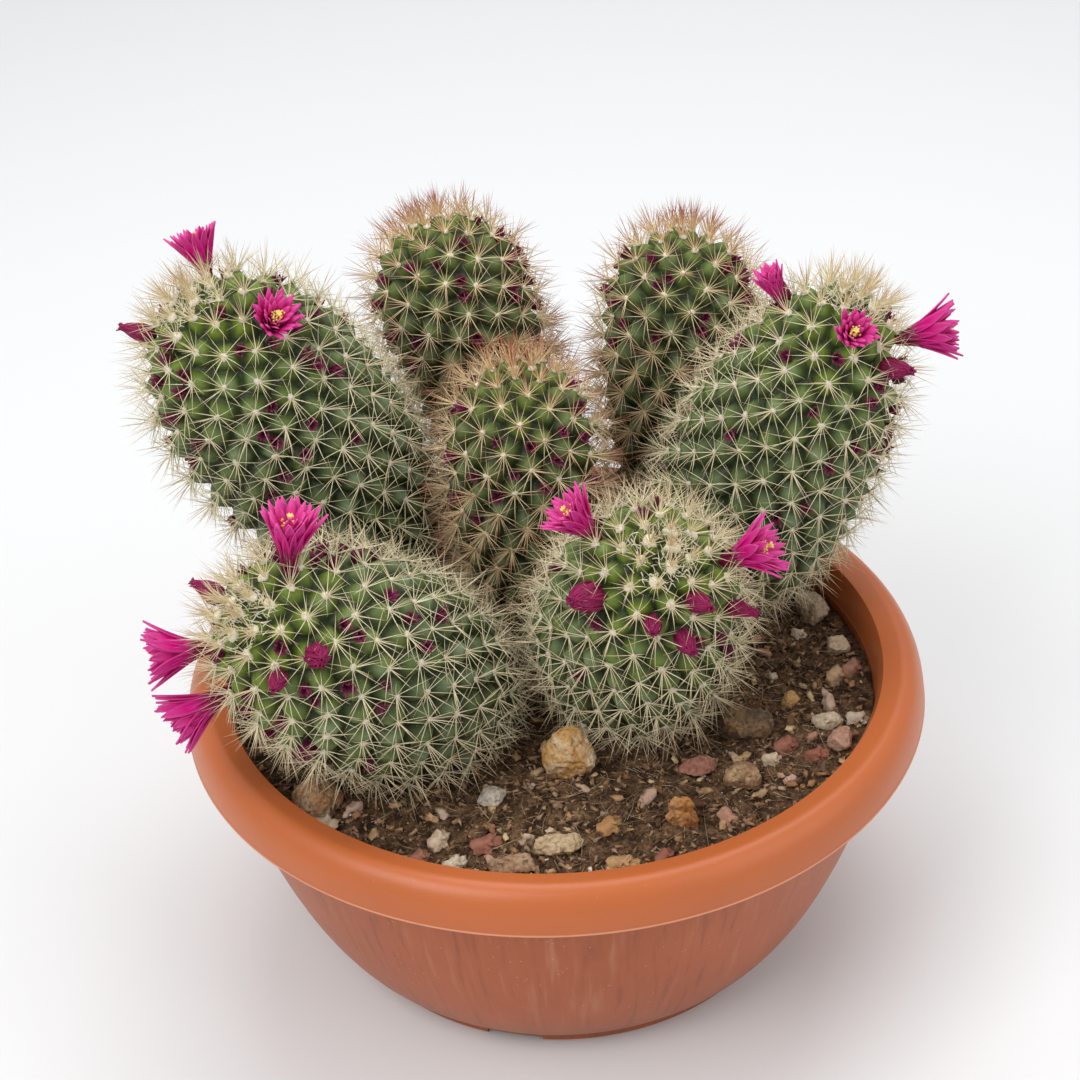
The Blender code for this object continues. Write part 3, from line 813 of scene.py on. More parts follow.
class CACTUS_OT_stems(bpy.types.Operator):
    """Makes the seven stems with their skin, spines, wool and dried flowers"""

    bl_idname = "cactus.make_stems"
    bl_label = "Make stems"

    def execute(self, context):
        settings = context.scene.cactus_stems
        flowers = context.scene.cactus_flowers
        green = skin_finish(settings)
        young = settings.straw_colour
        straw = spine_finish("Straw spine", young, tinted(young, 0.90), (0.44, 0.23, 0.10), 0.55)
        rust_tip = (0.33, 0.060, 0.026)
        rust = spine_finish("Rust spine", settings.rust_colour, (0.78, 0.62, 0.38), rust_tip, 1.0)
        cotton = wool_finish(settings)
        remains = dried_finish(flowers)
        spine = needle()
        hair = needle(girth=0.028, bend=0.32)
        tuft = puff(2, 0.9, 0.35, 5)
        shred = blade(0.34, 0.35, 0.10, 3.0, thickness=0.05, across=2, along=4)
        for name in STEMS:
            stem = Stem(name)
            rng = np.random.default_rng(stem.seed)
            skin(stem, settings.spacing, settings.depth, green)
            spines(stem, settings.spacing, spine, straw if stem.kind == "woolly" else rust, rng)
            wool(stem, settings.spacing, tuft, hair, cotton, rng)
            dried_flowers(stem, settings.spacing, shred, remains, rng)
        return {"FINISHED"}


# ---------------------------------------------------------------- bowl


RIM_DEPTH = 13.2 * MM
RIM_ROLL = 7.5 * MM  # radius of the rim's roll
FLOOR_TOP = 4.8 * MM
WALL_LOW, WALL_HIGH = 6.0 * MM, 88.5 * MM  # heights between which the inside follows the body
FOOT_RADIUS = 79.5 * MM
PAD_RADIUS = 13.0 * MM  # of the middle pad
UNDERSIDE = 2.2 * MM  # height of the floor's underside
GAPS = 4  # in the foot ring
FIRST_GAP = -104  # azimuth in degrees
GAP_RING = 76 * MM
GAP_SIZE = (15 * MM, 19 * MM, 4.4 * MM)
DRAINS = 6
DRAIN_RING = 47 * MM
DRAIN_RADIUS = 4.5 * MM


def bowl_outline():
    """Inner floor, up the inside, over the rolled rim, down the outside and under the foot."""
    _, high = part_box("bowl")
    rim = high.x
    top = high.z - RIM_DEPTH

    def body(z):
        share = min(1.0, max(0.0, (z - 1.5 * MM) / (top - 1.5 * MM)))
        return 0.593 * rim + 0.330 * rim * (1 - (1 - share) ** 1.175) ** 0.546

    def inner(z):
        return body(z) - (3.2 + 3.4 * (z / top) ** 3) * MM

    points = [(0.0, FLOOR_TOP), (inner(WALL_LOW) - 4 * MM, FLOOR_TOP)]
    points += [(inner(z), z) for z in np.linspace(WALL_LOW, WALL_HIGH, 16)]
    lip = inner(WALL_HIGH) + 0.4 * MM
    points += [(lip + 0.3 * MM, top + 0.62 * RIM_DEPTH), (lip + 1.9 * MM, top + 0.87 * RIM_DEPTH)]
    for angle in np.radians(np.linspace(100, 0, 16)):
        points.append((rim + RIM_ROLL * (math.cos(angle) - 1), top + RIM_DEPTH * math.sin(angle)))
    points += [(rim + 0.05 * MM, top - 0.2 * MM), (rim + 0.30 * MM, top - 0.45 * MM)]
    points += [(rim + 0.30 * MM, top - 0.85 * MM), (rim - 0.2 * MM, top - 1.1 * MM)]
    points += [(rim - 1.4 * MM, top - 0.9 * MM), (rim - 2.0 * MM, top - 0.2 * MM)]
    points += [(body(top) + 1.2 * MM, top + 0.5 * MM), (body(top) + 0.2 * MM, top - 0.2 * MM)]
    points += [(body(z), z) for z in np.linspace(top - 2.5 * MM, WALL_LOW, 22)]
    points += [(FOOT_RADIUS + 0.4 * MM, 4.2 * MM), (FOOT_RADIUS + 0.2 * MM, 0.7 * MM)]
    points += [(FOOT_RADIUS - 0.6 * MM, 0.0), (FOOT_RADIUS - 6.4 * MM, 0.0)]
    points += [(FOOT_RADIUS - 7.0 * MM, 0.6 * MM), (FOOT_RADIUS - 7.0 * MM, UNDERSIDE)]
    points += [(PAD_RADIUS + 0.4 * MM, UNDERSIDE), (PAD_RADIUS, 0.0), (0.0, 0.0)]
    return points


def bowl_finish(settings):
    """Moulded plastic: a clean rim over a duller side with dried runs of lime, dust and scuffs."""
    finish = Finish("Bowl plastic", {"Specular IOR Level": 0.42})
    height = finish.height()
    _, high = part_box("bowl")
    on_rim = height.past(high.z - RIM_DEPTH - 1.0 * MM, 1.0 * MM)
    blotch = finish.noise(22, 4.0)
    rim = finish.mix(blotch.past(0.35, 0.4) * 0.5, settings.rim_colour, tinted(settings.rim_colour, 0.86))
    side = finish.mix(blotch.past(0.3, 0.4) * 0.6, settings.body_colour, tinted(settings.body_colour, 0.80))
    base = finish.mix(on_rim, side, rim)
    downwards = finish.turned(0.8)
    runs = finish.noise(46, 3.0, vector=downwards)
    broad_runs = finish.noise(9, 2.0, vector=downwards)
    streak = runs.past(0.52, 0.2) * broad_runs.past(0.42, 0.2) * (1 - on_rim)
    base = finish.mix(streak * 0.34, base, settings.dust_colour)
    dark_run = (1 - runs.past(0.34, 0.12)) * (1 - broad_runs.past(0.44, 0.2)) * (1 - on_rim)
    base = finish.mix(dark_run * 0.5, base, tinted(settings.body_colour, 0.5))
    # Pale band at the mould seam under the rim: the seam, lightened as a painted highlight along the rim's
    # lower edge.
    seam_highlight = 1 - height.math("ABSOLUTE", height - (high.z - 13.75 * MM)).past(0.16 * MM, 0.25 * MM)
    base = finish.mix(seam_highlight * 0.5, base, (0.80, 0.42, 0.26))
    specks = (1 - finish.cells(330).past(0.085, 0.05)) * finish.noise(60, 2.0).past(0.47, 0.1)
    base = finish.mix(specks * (1 - on_rim * 0.75) * 0.24, base, (0.74, 0.60, 0.50))
    # Darker towards the bottom, in noisy patches.
    bottom_darkening = (1 - height.past(0.004, 0.020)) * finish.noise(90, 3.0)
    base = finish.mix(bottom_darkening * 0.5, base, (0.16, 0.09, 0.06))
    roughness = 0.33 + (1 - on_rim) * 0.04 + streak * 0.15 + finish.noise(500, 3.0) * 0.10
    relief = finish.noise(900, 3.0) * 0.5 + finish.noise(70, 2.0) * 1.2 + streak * 0.4
    return finish.dress(base, roughness, relief, 0.10 * MM)


class CACTUS_OT_bowl(bpy.types.Operator):
    """Makes the moulded bowl with its rolled rim, foot ring and drain holes"""

    bl_idname = "cactus.make_bowl"
    bl_label = "Make bowl"

    def execute(self, context):
        outline = bowl_outline()
        mesh = bpy.data.meshes.new("bowl_outline")
        edges = [(k, k + 1) for k in range(len(outline) - 1)]
        mesh.from_pydata([(r, 0.0, z) for r, z in outline], edges, [])
        bowl = bpy.data.objects.new("bowl_body", mesh)
        context.scene.collection.objects.link(bowl)
        pick(bowl)
        bpy.ops.object.mode_set(mode="EDIT")
        bpy.ops.mesh.select_all(action="SELECT")
        bpy.ops.mesh.spin(steps=192, angle=TAU, center=(0, 0, 0), axis=(0, 0, 1))
        bpy.ops.mesh.select_all(action="SELECT")
        bpy.ops.mesh.remove_doubles(threshold=0.00002)
        bpy.ops.mesh.normals_make_consistent(inside=False)
        bpy.ops.object.mode_set(mode="OBJECT")
        for azimuth in np.radians(FIRST_GAP + 360 / GAPS * np.arange(GAPS)):
            deselect()
            spot = (GAP_RING * math.cos(azimuth), GAP_RING * math.sin(azimuth), 0.0)
            bpy.ops.mesh.primitive_cube_add(size=1.0, location=spot, rotation=(0, 0, azimuth))
            gap = context.object
            gap.scale = GAP_SIZE
            self.cut(bowl, gap)
        for azimuth in TAU * (np.arange(DRAINS) + 0.5) / DRAINS:
            deselect()
            spot = (DRAIN_RING * math.cos(azimuth), DRAIN_RING * math.sin(azimuth), 3.5 * MM)
            bpy.ops.mesh.primitive_cylinder_add(
                vertices=40, radius=DRAIN_RADIUS, depth=20 * MM, location=spot
            )
            self.cut(bowl, context.object)
        keep(bowl, "bowl_body", bowl_finish(context.scene.cactus_bowl), ["bowl"])
        bowl.data.set_sharp_from_angle(angle=math.radians(40))
        return {"FINISHED"}

    @staticmethod
    def cut(bowl, cutter):
        apply_modifier(bowl, "BOOLEAN", operation="DIFFERENCE", object=cutter)
        bpy.data.objects.remove(cutter)


# ---------------------------------------------------------------- soil


PERLITE = 90  # white grains
BARK_BITS = 520


class Ground:
    """The crumbly top of the soil, sized from its solid."""

    def __init__(self):
        self.low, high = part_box("soil")
        self.level = high.z - 1.6 * MM
        self.radius = high.x

    def height(self, x, y):
        spot = Vector((x, y, 0.0))
        swell = -1.4 * MM * (math.hypot(x, y) / self.radius) ** 2
        broad = noise.fractal(spot * 45, 1.0, 2.0, 2)
        fine = noise.fractal(spot * 210 + Vector((3, 1, 7)), 1.0, 2.0, 3)
        return self.level + swell + 1.0 * MM * broad + 1.5 * MM * fine

    def heights(self, x, y):
        return np.array([self.height(a, b) for a, b in zip(x, y)])


def soil_finish(settings):
    """Moist, fibrous soil with dry crumbs."""
    finish = Finish("Potting soil", {"Specular IOR Level": 0.25})
    clumps = finish.noise(170, 5.0, 0.65)
    grain = finish.noise(900, 4.0, 0.6)
    base = finish.mix(clumps.past(0.42, 0.25), settings.soil_colour, settings.dry_colour)
    base = finish.mix(grain.past(0.35, 0.30) * 0.75, base, tinted(settings.soil_colour, 0.30))
    threads = finish.noise(420, 3.0, vector=finish.stretched((1.0, 0.12, 1.0))).past(0.62, 0.08)
    base = finish.mix(threads * 0.5, base, (0.24, 0.145, 0.085))
    return finish.dress(base, 0.86 + grain * 0.12, grain + clumps * 0.8, 1.1 * MM)


def mixed_finish(name, stops, rough, relief_scale, lift=0.3 * MM):
    """A finish whose colour is picked for each loose piece by its mark."""
    finish = Finish(name, {"Specular IOR Level": 0.3})
    base = finish.ramp(finish.attribute("dark"), stops)
    mottle = finish.noise(relief_scale * 0.35, 4.0, 0.6)
    base = finish.mix(mottle.past(0.38, 0.3) * 0.45, base, tinted(stops[0][1], 0.55))
    return finish.dress(base, rough, finish.noise(relief_scale, 4.0), lift)


class CACTUS_OT_soil(bpy.types.Operator):
    """Makes the soil and everything loose on it except the large stones"""

    bl_idname = "cactus.make_soil"
    bl_label = "Make soil"

    def execute(self, context):
        settings = context.scene.cactus_soil
        self.ground = Ground()
        self.body(settings)
        rng = np.random.default_rng(71)
        crumb = puff(1, 0.75, 0.75, 3)
        dry = [(0.0, settings.soil_colour), (0.45, settings.dry_colour), (1.0, (0.46, 0.30, 0.18))]
        self.litter("soil_crumbs", crumb, settings.crumbs, (0.7, 3.0), 0.7, dry, 1500, rng)
        pebble = puff(3, 0.72, 0.62, 9)
        worn = [
            (0.0, (0.36, 0.14, 0.085)),
            (0.25, (0.56, 0.36, 0.235)),
            (0.5, (0.66, 0.55, 0.42)),
            (0.75, (0.50, 0.245, 0.165)),
            (1.0, (0.78, 0.72, 0.62)),
        ]
        self.litter("soil_pebbles", pebble, settings.pebbles, (1.8, 5.2), 1.0, worn, 700, rng)
        white = [(0.0, (0.66, 0.58, 0.45)), (1.0, (0.82, 0.78, 0.68))]
        self.litter("soil_perlite", crumb, PERLITE, (0.6, 1.5), 1.0, white, 1500, rng)
        tan = [(0.0, (0.10, 0.045, 0.022)), (0.5, (0.46, 0.25, 0.11)), (1.0, (0.74, 0.54, 0.30))]
        shred = puff(2, 0.30, 0.55, 15)
        self.litter("soil_bark", shred, BARK_BITS, (2.2, 6.5), 0.42, tan, 900, rng)
        self.gravel(pebble, rng)
        self.strands(settings, rng)
        return {"FINISHED"}

    def body(self, settings):
        cells = 205
        radius = self.ground.radius
        width = 2.02 * radius
        step = width / cells
        deselect()
        bpy.ops.mesh.primitive_grid_add(x_subdivisions=cells, y_subdivisions=cells, size=width)
        soil = bpy.context.object
        bpy.ops.object.mode_set(mode="EDIT")
        bpy.ops.mesh.select_all(action="DESELECT")
        bm = bmesh.from_edit_mesh(soil.data)
        for vert in bm.verts:
            vert.select_set(vert.co.to_2d().length > radius + 0.6 * step)
        bm.select_flush(True)
        bmesh.update_edit_mesh(soil.data)
        bpy.ops.mesh.delete(type="VERT")
        bm = bmesh.from_edit_mesh(soil.data)
        for vert in bm.verts:
            reach = vert.co.to_2d().length
            if reach > radius - 0.45 * step:
                vert.co.x *= (radius + 0.2 * MM) / reach
                vert.co.y *= (radius + 0.2 * MM) / reach
            vert.co.z = self.ground.height(vert.co.x, vert.co.y)
        bmesh.update_edit_mesh(soil.data)
        bpy.ops.mesh.select_all(action="SELECT")
        bpy.ops.mesh.region_to_loop()
        bpy.ops.mesh.extrude_edges_move(TRANSFORM_OT_translate={"value": (0, 0, -12 * MM)})
        drop = self.ground.low.z - self.ground.level + 14 * MM
        bpy.ops.mesh.extrude_edges_move(TRANSFORM_OT_translate={"value": (0, 0, drop)})
        bpy.ops.transform.resize(value=(0.66, 0.66, 1.0), center_override=(0, 0, 0))
        bpy.ops.mesh.edge_face_add()
        bpy.ops.mesh.select_all(action="SELECT")
        bpy.ops.mesh.normals_make_consistent(inside=False)
        bpy.ops.object.mode_set(mode="OBJECT")
        keep(soil, "soil_body", soil_finish(settings), ["soil"])

    def litter(self, name, pattern, count, sizes, narrow, stops, grain, rng):
        """Loose bits strewn over the soil, each half sunk in it."""
        reach = (self.ground.radius - 3 * MM) * np.sqrt(rng.uniform(0, 1, count))
        turn = rng.uniform(0, TAU, count)
        least, most = sizes
        size = (least + (most - least) * rng.uniform(0, 1, count) ** 2.2) * MM
        x, y = reach * np.cos(turn), reach * np.sin(turn)
        z = self.ground.heights(x, y) + 0.12 * size
        ways = unit(np.array([0.0, 0.0, 1.0]) + rng.normal(0, 0.35, (count, 3)))
        turns = turns_along(ways, rng.uniform(0, TAU, count), size, size)
        turns[:, :, 1] *= narrow
        marks = {"dark": rng.uniform(0, 1, count)}
        material = mixed_finish(name.replace("_", " ").capitalize(), stops, 0.9, grain)
        scatter(name, pattern, turns, np.stack([x, y, z], 1), marks, material)

    def gravel(self, pebble, rng):
        """The larger grit at its own places along the front of the bowl."""
        x, y, width, height, tone = np.array(GRAVEL).T
        x, y, width, height = x * MM, y * MM, 0.66 * width * MM, 0.60 * height * MM
        z = self.ground.heights(x, y) + 0.22 * height
        ways = unit(np.array([0.0, 0.0, 1.0]) + rng.normal(0, 0.12, (len(x), 3)))
        turns = turns_along(ways, rng.uniform(-0.6, 0.6, len(x)), height * 1.4, width)
        stops = [
            (0.0, (0.33, 0.125, 0.080)),
            (0.3, (0.46, 0.24, 0.165)),
            (0.6, (0.55, 0.30, 0.12)),
            (1.0, (0.72, 0.62, 0.46)),
        ]
        material = mixed_finish("Gravel", stops, 0.8, 700, 0.5 * MM)
        spots = np.stack([x, y, z], 1)
        scatter("soil_gravel", pebble, turns, spots, {"dark": tone}, material)

    def strands(self, settings, rng):
        """Dry fibres, roots and fallen spines that lie on the soil."""
        strand = needle(girth=0.010, bend=0.45)
        count = settings.fibres
        reach = (self.ground.radius - 8 * MM) * np.sqrt(rng.uniform(0, 1, count))
        turn = rng.uniform(0, TAU, count)
        x, y = reach * np.cos(turn), reach * np.sin(turn)
        z = self.ground.heights(x, y) + rng.uniform(0.2, 1.3, count) * MM
        flat = rng.uniform(0, TAU, count)
        ways = np.stack([np.cos(flat), np.sin(flat), rng.normal(0, 0.22, count)], 1)
        lengths = rng.uniform(2.5, 10, count) * MM * rng.choice([1, 1, 1, 1.8], count)
        ends = np.hypot(x + lengths * ways[:, 0], y + lengths * ways[:, 1])
        lengths = np.where(ends > self.ground.radius - 2 * MM, 4 * MM, lengths)
        turns = turns_along(ways, rng.uniform(0, TAU, count), lengths, np.full(count, 11 * MM))
        marks = {"dark": rng.uniform(0, 1, count)}
        stops = [(0.0, (0.10, 0.055, 0.030)), (0.6, (0.27, 0.165, 0.095)), (1.0, (0.56, 0.44, 0.28))]
        material = mixed_finish("Dry fibre", stops, 0.85, 900)
        spots = np.stack([x, y, z], 1)
        scatter("soil_fibres", strand, turns, spots, marks, material, smooth=False)


# ---------------------------------------------------------------- stones and bark


# The main, pale and dark colours of each stone and piece of bark.
STONE_COLOURS = {
    "stone_large_cream": ((0.66, 0.38, 0.13), (0.80, 0.68, 0.47), (0.40, 0.15, 0.035)),
    "stone_large_speckled": ((0.42, 0.23, 0.11), (0.58, 0.42, 0.25), (0.16, 0.09, 0.05)),
    "stone_small_pale": ((0.52, 0.46, 0.36), (0.62, 0.57, 0.48), (0.32, 0.26, 0.19)),
    "stone_long_tan": ((0.44, 0.31, 0.20), (0.56, 0.44, 0.31), (0.25, 0.17, 0.11)),
    "stone_flat_grey": ((0.105, 0.075, 0.048), (0.30, 0.17, 0.070), (0.05, 0.034, 0.024)),
    "stone_cream_by_rim": ((0.56, 0.42, 0.27), (0.66, 0.55, 0.40), (0.40, 0.22, 0.10)),
    "stone_pink_by_rim": ((0.50, 0.29, 0.205), (0.58, 0.40, 0.30), (0.36, 0.17, 0.115)),
    "stone_cream_right": ((0.60, 0.48, 0.33), (0.70, 0.60, 0.46), (0.44, 0.28, 0.16)),
    "stone_orange_ball": ((0.56, 0.33, 0.12), (0.64, 0.44, 0.20), (0.36, 0.18, 0.06)),
    "stone_brown": ((0.27, 0.145, 0.080), (0.60, 0.42, 0.22), (0.13, 0.070, 0.04)),
    "stone_reddish": ((0.35, 0.145, 0.100), (0.42, 0.21, 0.15), (0.20, 0.075, 0.05)),
    "bark_chip_upright": ((0.48, 0.21, 0.065), (0.62, 0.36, 0.16), (0.24, 0.10, 0.04)),
    "bark_chip_flat": ((0.52, 0.38, 0.22), (0.62, 0.49, 0.32), (0.26, 0.15, 0.08)),
    "bark_chip_rim": ((0.30, 0.175, 0.10), (0.44, 0.30, 0.18), (0.15, 0.08, 0.045)),
}
TAPERS = {"stone_large_cream": 0.42, "bark_chip_upright": 0.30, "stone_large_speckled": 0.25}
PLAIN_TAPER = 0.12  # how far the others narrow towards the top
BIG_STONE = 22 * MM  # across its box, past which a stone is made finer
BREAKS = 11  # flat faces on a stone


def stone_finish(name, main, pale, dark, bark):
    """Veined and pitted stone, or the long grain of bark."""
    finish = Finish(name.replace("_", " ").capitalize(), {"Specular IOR Level": 0.3})
    vector = finish.stretched((1.0, 1.0, 0.22)) if bark else finish.place
    broad = finish.noise(120, 4.0, 0.6, vector)
    fine = finish.noise(650, 5.0, 0.65, vector)
    base = finish.mix(broad.past(0.42, 0.22), main, pale)
    base = finish.mix((1 - fine.past(0.36, 0.16)) * 0.75, base, dark)
    pits = 1 - finish.cells(420, vector).past(0.12, 0.14)
    base = finish.mix(pits * broad.past(0.48, 0.2) * 0.6, base, dark)
    return finish.dress(base, 0.62 + fine * 0.3, fine + broad * 0.7 - pits * 0.5, 0.55 * MM)


def chip(stone, middle, low, high, taper, seed):
    """Flattens a rounded lump along a few random planes, as stone and bark break, and narrows its top."""
    rng = np.random.default_rng(seed + 200)
    half = np.array(high - low) / 2
    points = (points_of(stone.data) - np.array(middle)) / half
    points[:, :2] *= 1 - taper * np.clip(points[:, 2:] + 0.4, 0, 1.4)
    for normal in unit(rng.normal(0, 1, (BREAKS, 3))):
        over = points @ normal - rng.uniform(0.58, 0.84)
        points -= np.where(over > 0, over * 0.9, 0)[:, None] * normal
    set_points(stone.data, points * half * 1.06 + np.array(middle))


class CACTUS_OT_stones(bpy.types.Operator):
    """Makes the large stones and bark pieces from their solids"""

    bl_idname = "cactus.make_stones"
    bl_label = "Make stones"

    def execute(self, context):
        for seed, (name, colours) in enumerate(STONE_COLOURS.items()):
            bark = name.startswith("bark")
            stone = self.merged_copy(name)
            low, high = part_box(name)
            size = (high - low).length
            levels = 4 if size > BIG_STONE else 3
            apply_modifier(stone, "SUBSURF", levels=levels, render_levels=levels)
            middle = (low + high) / 2
            for vert in stone.data.vertices:
                vert.co = middle + (vert.co - middle) * 1.10
            chip(stone, middle, low, high, TAPERS.get(name, PLAIN_TAPER), seed)
            lumpy(stone, 0.07 * size if bark else 0.022 * size, 4.2 / size, seed, 4)
            lumpy(stone, 0.015 * size, 15 / size, seed + 40, 4)
            keep(stone, f"{name}_worn", stone_finish(name, *colours, bark), [name])
        return {"FINISHED"}

    @staticmethod
    def merged_copy(name):
        """A node's mesh as an object of its own, free of the node's marks, its doubles merged."""
        deselect()
        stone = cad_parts[name].copy()
        stone.data = stone.data.copy()
        stone.parent = None
        for key in list(stone.keys()):
            del stone[key]
        bpy.context.scene.collection.objects.link(stone)
        stone.hide_render = False
        pick(stone)
        bpy.ops.object.mode_set(mode="EDIT")
        bpy.ops.mesh.select_all(action="SELECT")
        bpy.ops.mesh.remove_doubles(threshold=0.00001)
        bpy.ops.object.mode_set(mode="OBJECT")
        return stone


# ---------------------------------------------------------------- flowers and buds


class Grown:
    """A flower's or bud's own line, read from its solid: foot, way, length and half width."""

    def __init__(self, node):
        points = np.unique(np.round(points_of(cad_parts[node].data), 6), axis=0)
        centre = points.mean(0)
        # the way whose spread stands apart from the other two is the flower's own
        values, ways = np.linalg.eigh(np.cov((points - centre).T))
        odd = 0 if values[1] / values[0] > values[2] / values[1] else 2
        way = ways[:, odd]
        along = (points - centre) @ way
        across = np.linalg.norm(points - centre - along[:, None] * way, axis=1)
        near_low = across[along < along.min() + 0.25 * np.ptp(along)].max()
        near_high = across[along > along.max() - 0.25 * np.ptp(along)].max()
        if node.startswith("flower") and near_low > near_high:
            way, along = -way, -along
        if node.startswith("bud"):
            stem = min((Stem(name) for name in STEMS), key=lambda stem: stem.gap(centre))
            if way @ (centre - stem.root - stem.along(centre) * stem.way) < 0:
                way, along = -way, -along
        self.way = way
        self.foot = centre + along.min() * way
        self.length = np.ptp(along)
        self.width = across.max()
        self.node = node


def round_way(way, count, tilt, phase):
    """Directions tilted from a way, evenly round it, with the roll that faces each blade outwards."""
    base = turn_to(way)
    turns, outs = [], []
    for k in range(count):
        angle = TAU * k / count + phase
        out = base @ np.array([math.cos(angle), math.sin(angle), 0.0])
        forward = math.cos(tilt[k]) * way + math.sin(tilt[k]) * out
        face = math.cos(tilt[k]) * out - math.sin(tilt[k]) * way
        side = np.cross(face, forward)
        turns.append(np.stack([side, face, forward], axis=1))
        outs.append(out)
    return np.array(turns), np.array(outs)


class Whorls:
    """Rings of petals or scales round a flower or bud, gathered into one piece."""

    def __init__(self, grown, rng):
        self.grown = grown
        self.rng = rng
        self.turns, self.spots, self.marks = [], [], []

    def ring(self, count, start, base_radius, tilt, spread, length, width, phase, mark, uneven=0.0):
        """Adds a ring that starts at a share of the flower's length."""
        grown, rng = self.grown, self.rng
        turns, outs = round_way(grown.way, count, rng.normal(tilt, spread, count), phase)
        lengths = length * rng.uniform(0.90, 1.05, count)
        scale = np.stack([np.full(count, width), np.full(count, length), lengths], 1)
        marks = np.full(count, mark)
        if uneven:
            marks = marks + rng.uniform(-uneven, uneven, count)
        self.turns.append(turns * scale[:, None, :])
        self.spots.append(grown.foot + start * grown.length * grown.way + base_radius * outs)
        self.marks.append(marks)

    def piece(self, name, pattern, material, replaced=()):
        turns, spots, marks = (np.concatenate(part) for part in (self.turns, self.spots, self.marks))
        scatter(name, pattern, turns, spots, {"dark": marks}, material, replaced)


THROAT = 0.28  # where a flower's petals start, as a share of its length
STAMENS = 34
LOBES = 6  # of the stigma


def flower(grown, petal, sepal, thread, bead, finishes, rng, openness):
    """One flower: a scaly tube, whorls of narrow petals, stamens and a yellow stigma."""
    name = grown.node
    mouth = grown.width
    slant = math.hypot((1 - THROAT) * grown.length, mouth * 0.6)
    petals = Whorls(grown, rng)
    plan = (
        (13, 0.27 * mouth, 0.32 * openness, 1.00),
        (12, 0.23 * mouth, 0.22 * openness, 0.98),
        (10, 0.17 * mouth, 0.10 * openness, 0.90),
    )
    for k, (count, radius, tilt, share) in enumerate(plan):
        phase = k * 0.33 + rng.uniform(0, 0.2)
        petals.ring(count, THROAT, radius, tilt, 0.07, slant * share, slant * 0.98, phase, k / 2, 0.1)
    petals.piece(f"{name}_petals", petal, finishes["petal"], [name])
    scales = Whorls(grown, rng)
    for k, (count, start, share) in enumerate(((8, 0.08, 0.42), (9, 0.18, 0.48), (11, 0.27, 0.52))):
        radius, tilt = (0.21 + 0.05 * k) * mouth, 0.08 + 0.08 * k * openness
        size = share * grown.length
        scales.ring(count, start, radius, tilt, 0.04, size, size, k * 0.4, k / 2)
    scales.piece(f"{name}_scales", sepal, finishes["sepal"])
    tube(grown, finishes["sepal"])
    if openness >= 0.5:
        stamens(grown, thread, bead, finishes, rng, openness)


def stamens(grown, thread, bead, finishes, rng, openness):
    """The threads inside an open flower, with an anther on each, and the stigma's lobes."""
    tilts = np.abs(rng.normal(0.0, 0.22 * openness, STAMENS))
    turns, outs = round_way(grown.way, STAMENS, tilts, 0.0)
    lengths = grown.length * rng.uniform(0.20, 0.34, STAMENS)
    start = grown.foot + 0.50 * grown.length * grown.way
    spots = start + outs * 0.09 * grown.width
    tips = spots + turns[:, :, 2] * lengths[:, None]
    turns = turns * np.stack([lengths] * 3, 1)[:, None, :]
    marks = {"dark": np.zeros(STAMENS)}
    scatter(f"{grown.node}_filaments", thread, turns, spots, marks, finishes["filament"])
    turns, outs = round_way(grown.way, LOBES, np.full(LOBES, 0.6), 0.3)
    star = start + 0.37 * grown.length * grown.way + outs * 0.25 * MM
    sizes = np.concatenate([np.full(STAMENS, 0.8 * MM), np.full(LOBES, 2.6 * MM)])
    widths = np.concatenate([np.full(STAMENS, 0.7 * MM), np.full(LOBES, 0.8 * MM)])
    ways = np.concatenate([np.repeat(grown.way[None, :], STAMENS, 0), turns[:, :, 2]])
    turns = turns_along(ways, rng.uniform(0, TAU, len(sizes)), sizes, widths)
    spots = np.concatenate([tips, star])
    marks = {"dark": np.ones(len(sizes))}
    scatter(f"{grown.node}_anthers", bead, turns, spots, marks, finishes["pollen"])


def tube(grown, material):
    """The flower's slender ribbed tube, widening to the throat."""
    top_radius = 1.9 * MM
    deselect()
    bpy.ops.mesh.primitive_cone_add(vertices=20, radius1=1.6 * MM, radius2=top_radius, depth=1.0)
    obj = bpy.context.object
    bpy.ops.object.mode_set(mode="EDIT")
    bm = bmesh.from_edit_mesh(obj.data)
    everything = bm.verts[:] + bm.edges[:] + bm.faces[:]
    bmesh.ops.bisect_plane(bm, geom=everything, plane_co=(0, 0, 0), plane_no=(0, 0, 1))
    bmesh.update_edit_mesh(obj.data)
    bpy.ops.object.mode_set(mode="OBJECT")
    points = points_of(obj.data)
    share = points[:, 2] + 0.5
    swell = 1 + share * (0.29 * grown.width / top_radius - 1)
    ribs = 1 + 0.07 * np.cos(5 * np.arctan2(points[:, 1], points[:, 0]))
    points[:, :2] *= (swell * ribs)[:, None]
    points[:, 2] = share * (THROAT + 0.16) * grown.length
    set_points(obj.data, points @ turn_to(grown.way).T + grown.foot)
    apply_modifier(obj, "SUBSURF", levels=2, render_levels=2)
    set_evenly(obj.data, along=0.2, across=0.5, dark=0.4)
    keep(obj, f"{grown.node}_tube", material)


